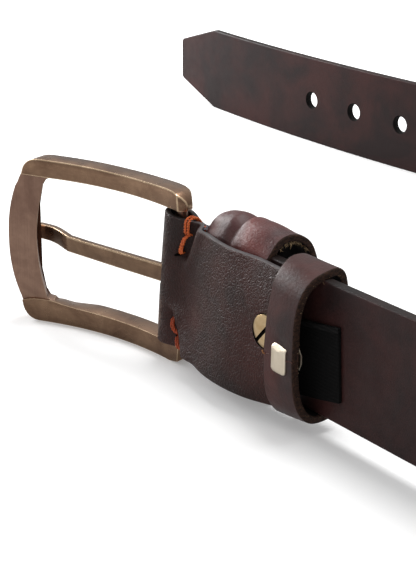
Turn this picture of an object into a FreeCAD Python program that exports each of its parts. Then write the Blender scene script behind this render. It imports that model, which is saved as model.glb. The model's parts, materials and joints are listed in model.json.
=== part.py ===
import FreeCAD, Part
import math
import os
import Sketcher

# A men's leather dress belt standing on its edge in an open U, pin buckle at the near end.
# The layout frame has the buckle bar's axis on the Z axis and the near leg along +X;
# the reverse (flesh) side of the near leg lies in Y = 0 and its front faces +Y.
# At the end every piece is moved together, so that the origin is the bottom centre of
# the whole belt's bounding box. All lengths are in millimetres, angles in degrees.

V = FreeCAD.Vector
UP = V(0, 0, 1)

SIZES = {
    # leather strap
    "strap_width": 35.0,
    "strap_thickness": 3.0,
    "strap_length": 1113.0,
    "near_run": 265.0,
    "level_run": 120.0,
    "turn_radius": 104.0,
    "turn_splay": 4.6,
    "tip_arc_radius": 830.0,
    "tip_arc_length": 156.0,
    "tip_flat": 18.0,
    "tip_taper": 28.0,
    "tip_corner_radius": 3.5,
    "tip_shoulder_radius": 30.0,
    "hole_diameter": 6.6,
    "hole_pitch": 25.4,
    "hole_count": 5,
    "first_hole": 99.0,
    # fold round the buckle bar, and the tab that it ends in
    "fold_thickness": 2.1,
    "fold_clearance": 0.3,
    "pinch_reach": 6.4,
    "tab_straight": 2.1,
    "tab_offset_run": 4.2,
    "tab_end": 52.0,
    "tab_gap": 2.7,
    "tab_corner": 9.0,
    "slot_width": 11.0,
    "slot_front_reach": 6.0,
    "slot_back_reach": 1.2,
    # buckle frame
    "window_height": 38.4,
    "arm_height": 5.25,
    "arm_depth": 6.4,
    "arm_end": 2.6,
    "arm_end_radius": 4.5,
    "frame_reach": 59.0,
    "frame_bow": 4.8,
    "frame_arch": 5.3,
    "outer_corner_radius": 3.5,
    "outer_bar_width": 8.2,
    "window_bow": 2.6,
    "window_corner_radius": 2.5,
    "frame_edge_chamfer": 0.7,
    "outer_bar_back_step": 0.5,
    "outer_bar_front_step": 1.2,
    "bar_diameter": 3.4,
    "buckle_swing": 19.3,
    "strap_side_play": 0.45,
    # prong
    "prong_width": 5.6,
    "prong_tip_width": 4.6,
    "prong_thickness": 2.2,
    "prong_wall": 1.1,
    "prong_run_out": 0.05,
    "prong_slope": 5.6,
    "prong_bend_length": 8.0,
    "prong_bend_lead": 1.5,
    "prong_tip_slope": 1.5,
    "prong_tip_inset": 2.1,
    "prong_seat_gap": 0.25,
    "prong_side_radius": 60.0,
    "prong_tip_radius": 1.6,
    "prong_edge_chamfer": 0.4,
    "prong_height": 25.3,
    # wide fixed keeper
    "wide_keeper_start": 8.8,
    "wide_keeper_end": 38.0,
    "wide_keeper_thickness": 1.5,
    "wide_keeper_height": 43.6,
    "wide_keeper_rise": 0.6,
    "wide_keeper_belly": 16.2,
    "wide_keeper_strap_gap": 0.3,
    "rib_width": 9.5,
    "rib_height": 0.8,
    "rib_margin": 3.0,
    # narrow sliding keeper
    "narrow_keeper_start": 46.0,
    "narrow_keeper_width": 12.0,
    "narrow_keeper_thickness": 2.2,
    "keeper_side_clearance": 0.3,
    "keeper_back_clearance": 0.5,
    "keeper_front_room": 4.4,
    "keeper_inner_radius": 2.0,
    "keeper_outer_radius": 7.0,
    # staples
    "staple_width": 5.1,
    "staple_height": 6.3,
    "staple_crown": 0.7,
    "staple_leg": 0.7,
    "staple_clinch": 0.3,
    "staple_corner": 0.9,
    "staple_drop": 2.6,
    "small_staple_width": 4.0,
    "small_staple_height": 9.0,
    "small_staple_crown": 0.3,
    # screw post and slotted screw
    "screw_distance": 43.5,
    "screw_rise": 1.1,
    "screw_head_diameter": 9.0,
    "screw_head_height": 0.6,
    "screw_slot_width": 1.0,
    "screw_slot_depth": 0.35,
    "screw_shank_diameter": 3.2,
    "screw_fit": 0.05,
    "post_diameter": 5.0,
    "post_flange_diameter": 8.4,
    "post_flange_height": 0.8,
    "post_clearance": 0.1,
    # stitches
    "stitch_distance": 7.4,
    "thread_width": 0.9,
    "thread_space": 0.1,
    "stitch_edge_margin": 3.2,
    "stitch_length": 6.0,
    "stitch_stand_off": 0.1,
    "stitch_hole_diameter": 3.0,
    # woven tab
    "woven_start": 49.0,
    "woven_end": 65.2,
    "woven_height": 19.5,
    "woven_thickness": 0.8,
    "woven_gap": 0.35,
    "woven_tilt": 6.0,
    "woven_drop": 3.4,
}

doc = FreeCAD.newDocument("leather_belt")
sheet = doc.addObject("Spreadsheet::Sheet", "sizes")
for row, (alias, number) in enumerate(SIZES.items(), start=1):
    sheet.set("A%d" % row, alias)
    sheet.set("B%d" % row, str(number))
    sheet.setAlias("B%d" % row, alias)
doc.recompute()


def size(alias):
    return float(sheet.get(alias))


W = size("strap_width")
T = size("strap_thickness")
LIFT = size("arm_height") + size("strap_side_play")
MID = LIFT + W / 2
FRAME_HEIGHT = size("window_height") + 2 * size("arm_height")
TAB_BACK = -size("tab_gap") - T


# ---------------------------------------------------------------- plane outlines

def segment(start, end):
    return Part.LineSegment(V(*start), V(*end))


def arc(start, middle, end):
    return Part.Arc(V(*start), V(*middle), V(*end))


def on_circle(centre, radius, degrees):
    turn = math.radians(degrees)
    return (centre[0] + radius * math.cos(turn), centre[1] + radius * math.sin(turn), 0)


def rounded(corners):
    """Closed outline through corners (x, y, radius), each rounded by its own radius."""
    edges, ends = [], []
    count = len(corners)
    for index, (x, y, radius) in enumerate(corners):
        here = V(x, y, 0)
        before = V(*corners[index - 1][:2], 0) - here
        after = V(*corners[(index + 1) % count][:2], 0) - here
        before.normalize()
        after.normalize()
        if radius == 0:
            ends.append((here, None, here))
            continue
        half = before.getAngle(after) / 2
        reach = radius / math.tan(half)
        bisector = before + after
        bisector.normalize()
        centre = here + bisector * (radius / math.sin(half))
        ends.append((here + before * reach, centre - bisector * radius, here + after * reach))
    for index, (first, middle, last) in enumerate(ends):
        if middle is not None:
            edges.append(Part.Arc(first, middle, last))
        following = ends[(index + 1) % count][0]
        edges.append(Part.LineSegment(last, following))
    return edges


def march(start, heading, moves):
    """Legs of a plane path: ("run", length) goes straight, ("turn", radius, degrees) bends left."""
    legs = []
    x, y = start
    for move in moves:
        course = math.radians(heading)
        if move[0] == "run":
            legs.append({"from": (x, y), "heading": heading, "length": move[1], "radius": None})
            x += move[1] * math.cos(course)
            y += move[1] * math.sin(course)
            continue
        radius, sweep = move[1], move[2]
        side = math.copysign(1, sweep)
        centre = (x - side * radius * math.sin(course), y + side * radius * math.cos(course))
        legs.append({"from": (x, y), "heading": heading, "radius": radius, "sweep": sweep,
                     "centre": centre, "length": radius * math.radians(abs(sweep))})
        heading += sweep
        course = math.radians(heading)
        x = centre[0] + side * radius * math.sin(course)
        y = centre[1] - side * radius * math.cos(course)
    return legs


def station(legs, distance):
    """Point and heading at a distance along the path."""
    for leg in legs:
        if distance <= leg["length"] or leg is legs[-1]:
            break
        distance -= leg["length"]
    x, y = leg["from"]
    if leg["radius"] is None:
        course = math.radians(leg["heading"])
        return x + distance * math.cos(course), y + distance * math.sin(course), leg["heading"]
    heading = leg["heading"] + leg["sweep"] * distance / leg["length"]
    side = math.copysign(leg["radius"], leg["sweep"])
    course = math.radians(heading)
    centre = leg["centre"]
    return centre[0] + side * math.sin(course), centre[1] - side * math.cos(course), heading


def beside(legs, distance, offset):
    """Point at a distance along the path, offset to its left."""
    x, y, heading = station(legs, distance)
    course = math.radians(heading)
    return x - offset * math.sin(course), y + offset * math.cos(course), 0


def band(legs, thickness):
    """Closed outline of a band of this thickness, centred on the path."""
    total = sum(leg["length"] for leg in legs)
    sides = []
    for offset in (thickness / 2, -thickness / 2):
        side, passed = [], 0
        for leg in legs:
            ends = [passed, passed + leg["length"]]
            first, last = (beside([leg], distance - passed, offset) for distance in ends)
            if leg["radius"] is None:
                side.append(segment(first, last))
            else:
                side.append(arc(first, beside([leg], leg["length"] / 2, offset), last))
            passed = ends[1]
        sides.append(side)
    half = thickness / 2
    caps = [segment(beside(legs, at, half), beside(legs, at, -half)) for at in (0, total)]
    return sides[0] + sides[1] + caps


def tangent_angle(point, radius):
    """Polar angle at which the line from the point touches the circle about the origin."""
    away = math.hypot(point[0], point[1])
    lean = math.degrees(math.atan2(point[1], point[0]))
    return lean + math.degrees(math.acos(radius / away))


# ---------------------------------------------------------------- document objects

def new_body(label):
    body = doc.addObject("PartDesign::Body", label)
    body.Label = label
    return body


def plane_of(body, role):
    return [item for item in body.Origin.OriginFeatures if item.Role == role][0]


def sketch_in(body, role, name, outlines, offset=0.0):
    """Sketch of closed outlines on one of the body's origin planes, moved along its normal."""
    sketch = body.newObject("Sketcher::SketchObject", name)
    sketch.AttachmentSupport = [(plane_of(body, role), "")]
    sketch.MapMode = "FlatFace"
    sketch.AttachmentOffset = FreeCAD.Placement(V(0, 0, offset), FreeCAD.Rotation())
    for outline in outlines:
        sketch.addGeometry(outline, False)
    doc.recompute()
    return sketch


def pad(body, sketch, name, length, reverse=False, midplane=False):
    """Pad whose length is an expression on the sheet."""
    feature = body.newObject("PartDesign::Pad", name)
    feature.Profile = sketch
    feature.setExpression("Length", length)
    feature.Reversed = reverse
    if midplane:
        feature.SideType = "Symmetric"
    body.Tip = feature
    doc.recompute()
    return feature


def cell(text):
    """Expression in which words that are sheet aliases are looked up on the sheet."""
    words = text.replace("(", " ( ").replace(")", " ) ").split()
    return " ".join("sizes." + word if word in SIZES else word for word in words)


def bind(item, **expressions):
    for prop, text in expressions.items():
        item.setExpression(prop, cell(text))
    return item


def place(item, x=0.0, y=0.0, z=0.0, axis=UP, degrees=0.0):
    item.Placement = FreeCAD.Placement(V(x, y, z), FreeCAD.Rotation(axis, degrees))
    return item


def cylinder_along_y(name, radius, length, x, y, z):
    """Cylinder from (x, y, z) towards -Y; radius and length are expressions."""
    item = doc.addObject("Part::Cylinder", name)
    bind(item, Radius=radius, Height=length)
    return place(item, x, y, z, V(1, 0, 0), 90)


def box(name, length, width, height, x, y, z):
    item = doc.addObject("Part::Box", name)
    bind(item, Length=length, Width=width, Height=height)
    return place(item, x, y, z)


def fuse(name, items):
    joined = doc.addObject("Part::MultiFuse", name)
    joined.Shapes = items
    return joined


def cut(name, base, tool):
    result = doc.addObject("Part::Cut", name)
    result.Base = base
    result.Tool = tool
    return result


def chamfered(name, base, width, chosen):
    """Chamfer of one width on those edges of the base that the given test chooses."""
    item = doc.addObject("Part::Chamfer", name)
    item.Base = base
    doc.recompute()
    item.Edges = [(number, size(width), size(width))
                  for number, edge in enumerate(base.Shape.Edges, start=1)
                  if chosen(edge, base.Shape)]
    return item


def labelled(item, label):
    item.Label = label
    return item


# ---------------------------------------------------------------- strap

def belt_path():
    """Centre line of the strap from the pinch to the tip."""
    splay = size("turn_splay")
    half_turn = 180 + splay
    turn_length = size("turn_radius") * math.radians(half_turn)
    tip_length = size("tip_arc_length")
    tip_bend = math.degrees(tip_length / size("tip_arc_radius"))
    far_run = size("strap_length") - size("near_run") - turn_length - tip_length
    moves = [("run", size("near_run") - size("pinch_reach")),
             ("turn", size("turn_radius"), half_turn),
             ("run", far_run),
             ("turn", size("tip_arc_radius"), -tip_bend)]
    return march((size("pinch_reach"), T / 2), 0, moves)


def near_leg_outline():
    """Side view of the near leg: level behind the buckle, then easing down to the floor."""
    start, level, end = size("pinch_reach"), size("level_run"), size("near_run")
    span = end - level
    radius = (span ** 2 + LIFT ** 2) / (4 * LIFT)
    bend = math.degrees(2 * math.atan2(LIFT, span))
    edges = []
    for rise in (0, W):
        legs = march((level, LIFT + rise), 0, [("turn", radius, -bend), ("turn", radius, bend)])
        for leg in legs:
            ends = [station([leg], leg["length"] * share)[:2] + (0,) for share in (0, 0.5, 1)]
            edges.append(arc(*ends))
        edges.append(segment((start, LIFT + rise, 0), (level, LIFT + rise, 0)))
    edges.append(segment((start, LIFT, 0), (start, LIFT + W, 0)))
    edges.append(segment((end, 0, 0), (end, W, 0)))
    return edges


def fold_outlines():
    """Plan view of the loop round the bar: a teardrop with a teardrop hole."""
    inner = size("bar_diameter") / 2 + size("prong_run_out") + size("prong_wall")
    inner += size("fold_clearance")
    outer = inner + size("fold_thickness")
    pinch = size("pinch_reach")
    outlines = []
    touch = tangent_angle((pinch, T), outer)
    upper, lower = on_circle((0, 0), outer, touch), on_circle((0, 0), outer, -touch)
    outlines += [segment((pinch, T, 0), upper), arc(upper, (-outer, 0, 0), lower),
                 segment(lower, (pinch, -T, 0)), segment((pinch, -T, 0), (pinch, T, 0))]
    near_pinch = pinch - 0.6
    touch = tangent_angle((near_pinch, 0), inner)
    upper, lower = on_circle((0, 0), inner, touch), on_circle((0, 0), inner, -touch)
    outlines += [segment((near_pinch, 0, 0), upper), arc(upper, (-inner, 0, 0), lower),
                 segment(lower, (near_pinch, 0, 0))]
    return outlines


def tab_path():
    """Centre line of the tab, from the pinch out to its own level behind the near leg."""
    gap, run = size("tab_gap"), size("tab_offset_run")
    radius = (run ** 2 + gap ** 2) / (4 * gap)
    bend = math.degrees(2 * math.atan2(gap, run))
    straight = size("tab_end") - size("pinch_reach") - run - size("tab_straight")
    moves = [("run", size("tab_straight")), ("turn", radius, -bend), ("turn", radius, bend),
             ("run", straight)]
    return march((size("pinch_reach"), -T / 2), 0, moves)


def tip_cutters(path):
    """Two prisms that taper the strap's end, placed square to the strap at its tip."""
    x, y, heading = station(path, sum(leg["length"] for leg in path))
    flat, taper = size("tip_flat") / 2, size("tip_taper")
    beyond = 4.0
    cutters = []
    for side, name in ((1, "tip_cut_top"), (-1, "tip_cut_bottom")):
        corners = [(-beyond, side * flat / 2, 0), (0, side * flat / 2, 0),
                   (0, side * flat, size("tip_corner_radius")),
                   (taper, side * W / 2, size("tip_shoulder_radius")),
                   (taper + 2 * beyond, side * W / 2, 0),
                   (taper + 2 * beyond, side * (W / 2 + beyond), 0),
                   (-beyond, side * (W / 2 + beyond), 0)]
        body = new_body(name)
        sketch = sketch_in(body, "XZ_Plane", name + "_outline", [rounded(corners)])
        pad(body, sketch, name + "_pad", cell("4 * strap_thickness"), midplane=True)
        place(body, x, y, W / 2, UP, heading + 180)
        cutters.append(body)
    return cutters


def punched_holes(path):
    """Drills for the adjustment holes, each square to the strap."""
    total = sum(leg["length"] for leg in path)
    drills = []
    for index in range(int(size("hole_count"))):
        back = size("first_hole") + index * size("hole_pitch")
        x, y, heading = station(path, total - back)
        drill = doc.addObject("Part::Cylinder", "punch_%d" % (index + 1))
        bind(drill, Radius="hole_diameter / 2", Height="4 * strap_thickness")
        turn = FreeCAD.Rotation(UP, heading) * FreeCAD.Rotation(V(1, 0, 0), 90)
        start = V(x, y, W / 2) - turn.multVec(UP) * 2 * T
        drill.Placement = FreeCAD.Placement(start, turn)
        drills.append(drill)
    return drills


def stitch_rows():
    """Heights of the stitch holes: (edge hole, inner hole, edge of the leather) per group."""
    margin, length = size("stitch_edge_margin"), size("stitch_length")
    top = LIFT + W
    return {"upper": (top - margin, top - margin - length, top),
            "lower": (LIFT + margin, LIFT + margin + length, LIFT)}


def build_strap():
    path = belt_path()
    body = new_body("strap_blank")
    side = sketch_in(body, "XZ_Plane", "near_leg_side", [near_leg_outline()])
    pad(body, side, "near_leg", cell("strap_thickness"), reverse=True)
    fold = sketch_in(body, "XY_Plane", "fold_plan", [fold_outlines()], LIFT)
    pad(body, fold, "fold", cell("strap_width"))
    tab = sketch_in(body, "XY_Plane", "tab_plan", [band(tab_path(), T)], LIFT)
    pad(body, tab, "tab", cell("strap_width"))
    far = sketch_in(body, "XY_Plane", "turn_and_far_leg_plan", [band(path[1:], T)])
    pad(body, far, "turn_and_far_leg", cell("strap_width"))
    tools = tip_cutters(path) + punched_holes(path)
    slot_foot = MID - size("slot_width") / 2
    reach = 8.0
    tools.append(box("slot_through", "8 + slot_back_reach", "16", "slot_width",
                     -reach, -reach, slot_foot))
    tools.append(box("slot_front", "8 + slot_front_reach", "8", "slot_width",
                     -reach, 0.0, slot_foot))
    for name, heights in stitch_rows().items():
        for number, height in enumerate(heights[:2], start=1):
            tools.append(cylinder_along_y("%s_stitch_hole_%d" % (name, number),
                                          "stitch_hole_diameter / 2", "4 * strap_thickness",
                                          size("stitch_distance"), 2 * T, height))
    tools.append(cylinder_along_y("screw_hole", "post_diameter / 2 + post_clearance",
                                  "4 * strap_thickness + tab_gap", size("screw_distance"),
                                  2 * T, MID + size("screw_rise")))
    tools.append(cylinder_along_y("post_recess", "post_flange_diameter / 2 + post_clearance",
                                  "2 * post_flange_height", size("screw_distance"),
                                  T + size("post_flange_height"), MID + size("screw_rise")))
    corner = size("tab_corner")
    for name, foot in (("tab_corner_low", LIFT), ("tab_corner_high", LIFT + W)):
        inward = 1 if foot == LIFT else -1
        end = size("tab_end")
        outline = rounded([(end + 2, foot - 2 * inward, 0), (end + 2, foot + corner * inward, 0),
                           (end, foot + corner * inward, 0), (end, foot, corner - 0.1),
                           (end - corner, foot, 0), (end - corner, foot - 2 * inward, 0)])
        cutter = new_body(name)
        sketch = sketch_in(cutter, "XZ_Plane", name + "_outline", [outline], size("tab_gap") - 0.1)
        pad(cutter, sketch, name + "_pad", cell("strap_thickness + 1"))
        tools.append(cutter)
    return labelled(cut("strap_cut", body, fuse("strap_tools", tools)), "strap")


# ---------------------------------------------------------------- buckle

def arch_centre():
    """Centre and radius of the arc that the buckle frame follows, bulging to the front."""
    chord, rise = size("frame_reach"), size("frame_arch")
    radius = (chord ** 2 / 4 + rise ** 2) / (2 * rise)
    return (-chord / 2, rise - radius), radius


def arch_band(low, high):
    """Plan view of a stretch of the arch between two offsets from its centre line."""
    centre, radius = arch_centre()
    reach = size("frame_reach") / 2 + size("arm_end") + 2
    spread = math.degrees(math.asin(reach / radius))
    edges, ends = [], []
    for offset in (low, high):
        points = [on_circle(centre, radius + offset, 90 + turn) for turn in (-spread, 0, spread)]
        edges.append(arc(*points))
        ends.append(points)
    return edges + [segment(ends[0][0], ends[1][0]), segment(ends[0][2], ends[1][2])]


def arch_height(reach, offset):
    """Height of the arch at a distance from the bar, at an offset from its centre line."""
    centre, radius = arch_centre()
    return centre[1] + math.sqrt((radius + offset) ** 2 - (reach + centre[0]) ** 2)


def bowed_side(edge_x, edge_z, bow):
    """Arc of a bar that bows outwards from its two ends."""
    return arc((edge_x, -edge_z, 0), (edge_x - bow, 0, 0), (edge_x, edge_z, 0))


def frame_front_outline():
    """Front view of the frame: two arms and the bowed outer bar, open towards the fold."""
    high, low = FRAME_HEIGHT / 2, size("window_height") / 2
    end, round_end = size("arm_end"), size("arm_end_radius")
    corner, inner_corner = size("outer_corner_radius"), size("window_corner_radius")
    outer_x = size("frame_bow") - size("frame_reach")
    inner_x = size("window_bow") + size("outer_bar_width") - size("frame_reach")
    outer_top = high - corner
    inner_top = low - inner_corner
    edges = [bowed_side(outer_x, outer_top, size("frame_bow")),
             bowed_side(inner_x, inner_top, size("window_bow"))]
    for side in (1, -1):
        edges.append(arc((outer_x, side * outer_top, 0),
                         on_circle((outer_x + corner, side * outer_top), corner,
                                   180 - side * 45),
                         (outer_x + corner, side * high, 0)))
        edges.append(segment((outer_x + corner, side * high, 0), (end - round_end, side * high, 0)))
        edges.append(arc((end - round_end, side * high, 0),
                         on_circle((end - round_end, side * (high - round_end)), round_end,
                                   side * 45),
                         (end, side * (high - round_end), 0)))
        edges.append(segment((end, side * (high - round_end), 0), (end, side * low, 0)))
        edges.append(segment((end, side * low, 0), (inner_x + inner_corner, side * low, 0)))
        edges.append(arc((inner_x, side * inner_top, 0),
                         on_circle((inner_x + inner_corner, side * inner_top), inner_corner,
                                   180 - side * 45),
                         (inner_x + inner_corner, side * low, 0)))
    return edges


def bounds_arch_face(edge, shape):
    """Whether the edge lies between one of the arch's two long faces and another face."""
    surfaces = [face.Surface for face in shape.ancestorsOfType(edge, Part.Face)]
    long_faces = [surface for surface in surfaces
                  if hasattr(surface, "Axis") and hasattr(surface, "Radius")
                  and abs(surface.Axis.z) > 0.9]
    return len(long_faces) == 1


def build_frame():
    arm = size("arm_depth") / 2
    arch = new_body("frame_arch")
    plan = sketch_in(arch, "XY_Plane", "frame_arch_plan", [arch_band(-arm, arm)])
    pad(arch, plan, "frame_arch_pad", cell("window_height + 2 * arm_height"), midplane=True)
    front = new_body("frame_front")
    view = sketch_in(front, "XZ_Plane", "frame_front_view", [frame_front_outline()])
    pad(front, view, "frame_front_pad", cell("2 * frame_reach"), midplane=True)
    common = doc.addObject("Part::MultiCommon", "frame_casting")
    common.Shapes = [arch, front]
    casting = chamfered("frame_edges", common, "frame_edge_chamfer", bounds_arch_face)
    steps = []
    stretch = [("back", -arm - 1, -arm + size("outer_bar_back_step")),
               ("front", arm - size("outer_bar_front_step"), arm + 1)]
    for name, low, high in stretch:
        step = new_body("outer_bar_step_" + name)
        plan = sketch_in(step, "XY_Plane", "step_plan_" + name, [arch_band(low, high)])
        pad(step, plan, "step_pad_" + name, cell("window_height"), midplane=True)
        steps.append(step)
    reach = size("frame_reach")
    keep = box("step_limit", "outer_bar_width + window_bow + window_corner_radius + 1",
               "2 * frame_reach", "window_height", -reach - 1, -reach, -size("window_height") / 2)
    shallow = doc.addObject("Part::MultiCommon", "outer_bar_steps")
    shallow.Shapes = [fuse("both_steps", steps), keep]
    casting = cut("frame_stepped", casting, shallow)
    bar = doc.addObject("Part::Cylinder", "buckle_bar")
    bind(bar, Radius="bar_diameter / 2", Height="window_height + arm_height")
    place(bar, 0, 0, -(size("window_height") + size("arm_height")) / 2)
    frame = fuse("frame_and_bar", [casting, bar])
    place(frame, 0, 0, FRAME_HEIGHT / 2, UP, size("buckle_swing"))
    return labelled(frame, "buckle_frame")


def prong_outline():
    """Plan view of the prong: an eye round the bar, a straight blade and a bend at the tip.

    The bend lifts the tip just clear of the outer bar's front face.
    """
    eye = size("bar_diameter") / 2 + size("prong_run_out") + size("prong_wall")
    thick, slope, tip_slope = size("prong_thickness"), size("prong_slope"), size("prong_tip_slope")
    start = (-0.35 * eye, -eye + thick / 2)
    seat = size("frame_reach") - size("outer_bar_width")
    bend = size("prong_bend_length")
    bend_start = seat - size("prong_bend_lead") - bend
    seat_face = arch_height(seat, size("arm_depth") / 2 - size("outer_bar_front_step"))
    seat_height = seat_face + size("prong_seat_gap") + thick / 2
    straight_height = start[1] + (seat + start[0]) * math.tan(math.radians(slope))
    rise = seat_height - straight_height
    radius = (bend ** 2 + rise ** 2) / (4 * rise)
    swing = math.degrees(2 * math.atan2(rise, bend))
    tip_run = size("frame_reach") - size("prong_tip_inset") - bend_start - bend
    moves = [("run", bend_start + start[0]), ("turn", radius, -swing),
             ("turn", radius, swing + slope - tip_slope), ("run", tip_run)]
    return march(start, 180 - slope, moves), eye, thick


def build_prong():
    blade, eye, thick = prong_outline()
    body = new_body("prong_blank")
    plan = sketch_in(body, "XY_Plane", "prong_blade_plan", [band(blade, thick)])
    pad(body, plan, "prong_blade", cell("prong_width"), midplane=True)
    ring = doc.addObject("Part::Cylinder", "prong_eye")
    bind(ring, Radius="bar_diameter / 2 + prong_run_out + prong_wall", Height="prong_width")
    place(ring, 0, 0, -size("prong_width") / 2)
    hollow = doc.addObject("Part::Cylinder", "prong_bore")
    bind(hollow, Radius="bar_diameter / 2 + prong_run_out", Height="2 * prong_width")
    place(hollow, 0, 0, -size("prong_width"))
    wide, narrow = size("prong_width") / 2, size("prong_tip_width") / 2
    reach = size("frame_reach") - size("prong_tip_inset")
    sides = new_body("prong_sides")
    tip, bulge = 0.2 * size("prong_thickness") - reach, size("prong_side_radius")
    round_tip = size("prong_tip_radius")
    outline = rounded([(2 * eye, -wide, 0), (2 * eye, wide, 0), (-reach * 0.45, wide, bulge),
                       (tip, narrow, round_tip), (tip, -narrow, round_tip),
                       (-reach * 0.45, -wide, bulge)])
    view = sketch_in(sides, "XZ_Plane", "prong_side_view", [outline])
    pad(sides, view, "prong_sides_pad", cell("frame_reach"), midplane=True)
    trimmed = doc.addObject("Part::MultiCommon", "prong_trimmed")
    trimmed.Shapes = [body, sides]
    blade_edges = chamfered("prong_edges", trimmed, "prong_edge_chamfer",
                            lambda edge, shape: edge.CenterOfMass.x < -eye
                            and edge.BoundBox.ZMin * edge.BoundBox.ZMax > 0)
    prong = cut("prong_cut", fuse("prong_with_eye", [blade_edges, ring]), hollow)
    place(prong, 0, 0, size("prong_height"), UP, size("buckle_swing"))
    return labelled(prong, "prong")


# ---------------------------------------------------------------- keepers

def wide_keeper_ring(grow):
    """Section of the wide keeper, its front grown outwards for a rib."""
    half, belly = size("wide_keeper_height") / 2, size("wide_keeper_belly")
    back = -size("wide_keeper_strap_gap") - size("wide_keeper_thickness")
    shoulder = W / 2 + size("keeper_side_clearance") + size("wide_keeper_rise")
    shoulder += size("wide_keeper_thickness")
    crown = 4.2
    ring = []
    for side in (1, -1):
        corners = [(back, side * shoulder, 2.4), (crown, side * (half + grow), 6.0),
                   (belly + grow, side * (half + grow), 9.5 + grow)]
        ring += corners if side == 1 else corners[::-1]
    return ring


def inset(corners, depth):
    """The same rounded outline moved inwards by a depth."""
    inner = []
    count = len(corners)
    for index, (x, y, radius) in enumerate(corners):
        here = V(x, y, 0)
        before = here - V(*corners[index - 1][:2], 0)
        after = V(*corners[(index + 1) % count][:2], 0) - here
        before.normalize()
        after.normalize()
        # outlines run clockwise, so the inside lies to the right of each edge
        right = (V(before.y, -before.x, 0) + V(after.y, -after.x, 0))
        right.normalize()
        half = before.getAngle(after) / 2
        moved = here + right * (depth / math.cos(half))
        inner.append((moved.x, moved.y, max(radius - depth, 0.4)))
    return inner


def build_wide_keeper():
    thick = size("wide_keeper_thickness")
    inner = rounded(inset(wide_keeper_ring(0), thick))
    body = new_body("wide_keeper")
    start, end = size("wide_keeper_start"), size("wide_keeper_end")
    plain = sketch_in(body, "YZ_Plane", "wide_keeper_section",
                      [rounded(wide_keeper_ring(0)), inner], start)
    pad(body, plain, "wide_keeper_band", cell("wide_keeper_end - wide_keeper_start"))
    rib_starts = (start + size("rib_margin"), end - size("rib_margin") - size("rib_width"))
    for number, at in enumerate(rib_starts, start=1):
        outline = [rounded(wide_keeper_ring(size("rib_height"))), inner]
        rib = sketch_in(body, "YZ_Plane", "rib_section_%d" % number, outline, at)
        pad(body, rib, "rib_%d" % number, cell("rib_width"))
    place(body, 0, 0, MID + size("wide_keeper_rise"))
    return body


def keeper_relief():
    """Wedge that skews the wide keeper's first end, so that its reverse clears the tab's bend."""
    start, back = size("wide_keeper_start"), -size("wide_keeper_strap_gap")
    level = size("pinch_reach") + size("tab_straight") + size("tab_offset_run") + 0.2
    back -= size("wide_keeper_thickness") + 1
    wedge = [(start - 1, back, 0), (level, back, 0), (level, 0, 0), (start - 1, T, 0)]
    body = new_body("keeper_relief")
    plan = sketch_in(body, "XY_Plane", "keeper_relief_plan", [rounded(wedge)])
    pad(body, plan, "keeper_relief_pad", cell("2 * strap_width"))
    return body


def staple_solids(name, crown, height, width, wall, depth, middle):
    """A closed flat staple: crown outside, two legs through the wall, clinched inside.

    middle is the centre of the crown's seat on the wall's back face.
    """
    leg, clinch = size("staple_leg"), size("staple_clinch")
    x, y, z = middle
    corner = size("staple_corner")
    plate = new_body(name + "_crown")
    outline = rounded([(x - width / 2, z - height / 2, 0.3),
                       (x - width / 2, z + height / 2 - corner, 0.2),
                       (x - width / 2 + corner, z + height / 2, 0.3),
                       (x + width / 2, z + height / 2, 0.3),
                       (x + width / 2, z - height / 2 + corner, 0.2),
                       (x + width / 2 - corner, z - height / 2, 0.3)])
    view = sketch_in(plate, "XZ_Plane", name + "_crown_view", [outline], -y)
    pad(plate, view, name + "_crown_pad", crown)
    legs = []
    for side in (1, -1):
        edge = z + side * (height / 2 - corner)
        foot = edge - (leg if side == 1 else 0)
        legs.append(box("%s_leg_%d" % (name, 2 - side), "staple_leg * 4", wall, "staple_leg",
                        x - 2 * leg, y, foot))
        turned = (height / 2 - corner) * 0.8
        low = edge - turned if side == 1 else edge
        legs.append(box("%s_clinch_%d" % (name, 2 - side), "staple_leg * 4", "staple_clinch",
                        str(turned), x - 2 * leg, y + depth, low))
    return plate, legs


def build_narrow_keeper():
    thick, side = size("narrow_keeper_thickness"), size("keeper_side_clearance")
    back = TAB_BACK - size("screw_head_height") - size("keeper_back_clearance")
    front = T + size("keeper_front_room")
    half = W / 2 + side
    inner_round, outer_round = size("keeper_inner_radius"), size("keeper_outer_radius")
    inner = rounded([(back, half, inner_round), (front, half, inner_round),
                     (front, -half, inner_round), (back, -half, inner_round)])
    outer = rounded([(back - thick, half + thick, outer_round),
                     (front + thick, half + thick, outer_round),
                     (front + thick, -half - thick, outer_round),
                     (back - thick, -half - thick, outer_round)])
    start = size("narrow_keeper_start")
    body = new_body("narrow_keeper_band")
    section = sketch_in(body, "YZ_Plane", "narrow_keeper_section", [outer, inner], start)
    pad(body, section, "narrow_keeper_pad", cell("narrow_keeper_width"))
    place(body, 0, 0, MID)
    middle = (start + size("narrow_keeper_width") / 2 + 0.8, back - thick,
              MID - size("staple_drop"))
    plate, legs = staple_solids("keeper_staple", cell("staple_crown"), size("staple_height"),
                                size("staple_width"), "narrow_keeper_thickness", thick, middle)
    staple = labelled(fuse("keeper_staple", [plate] + legs), "narrow_keeper_staple")
    slots = fuse("keeper_staple_slots", [doc.copyObject(item) for item in legs])
    keeper = labelled(cut("narrow_keeper_cut", body, slots), "narrow_keeper")
    return keeper, staple


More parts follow.
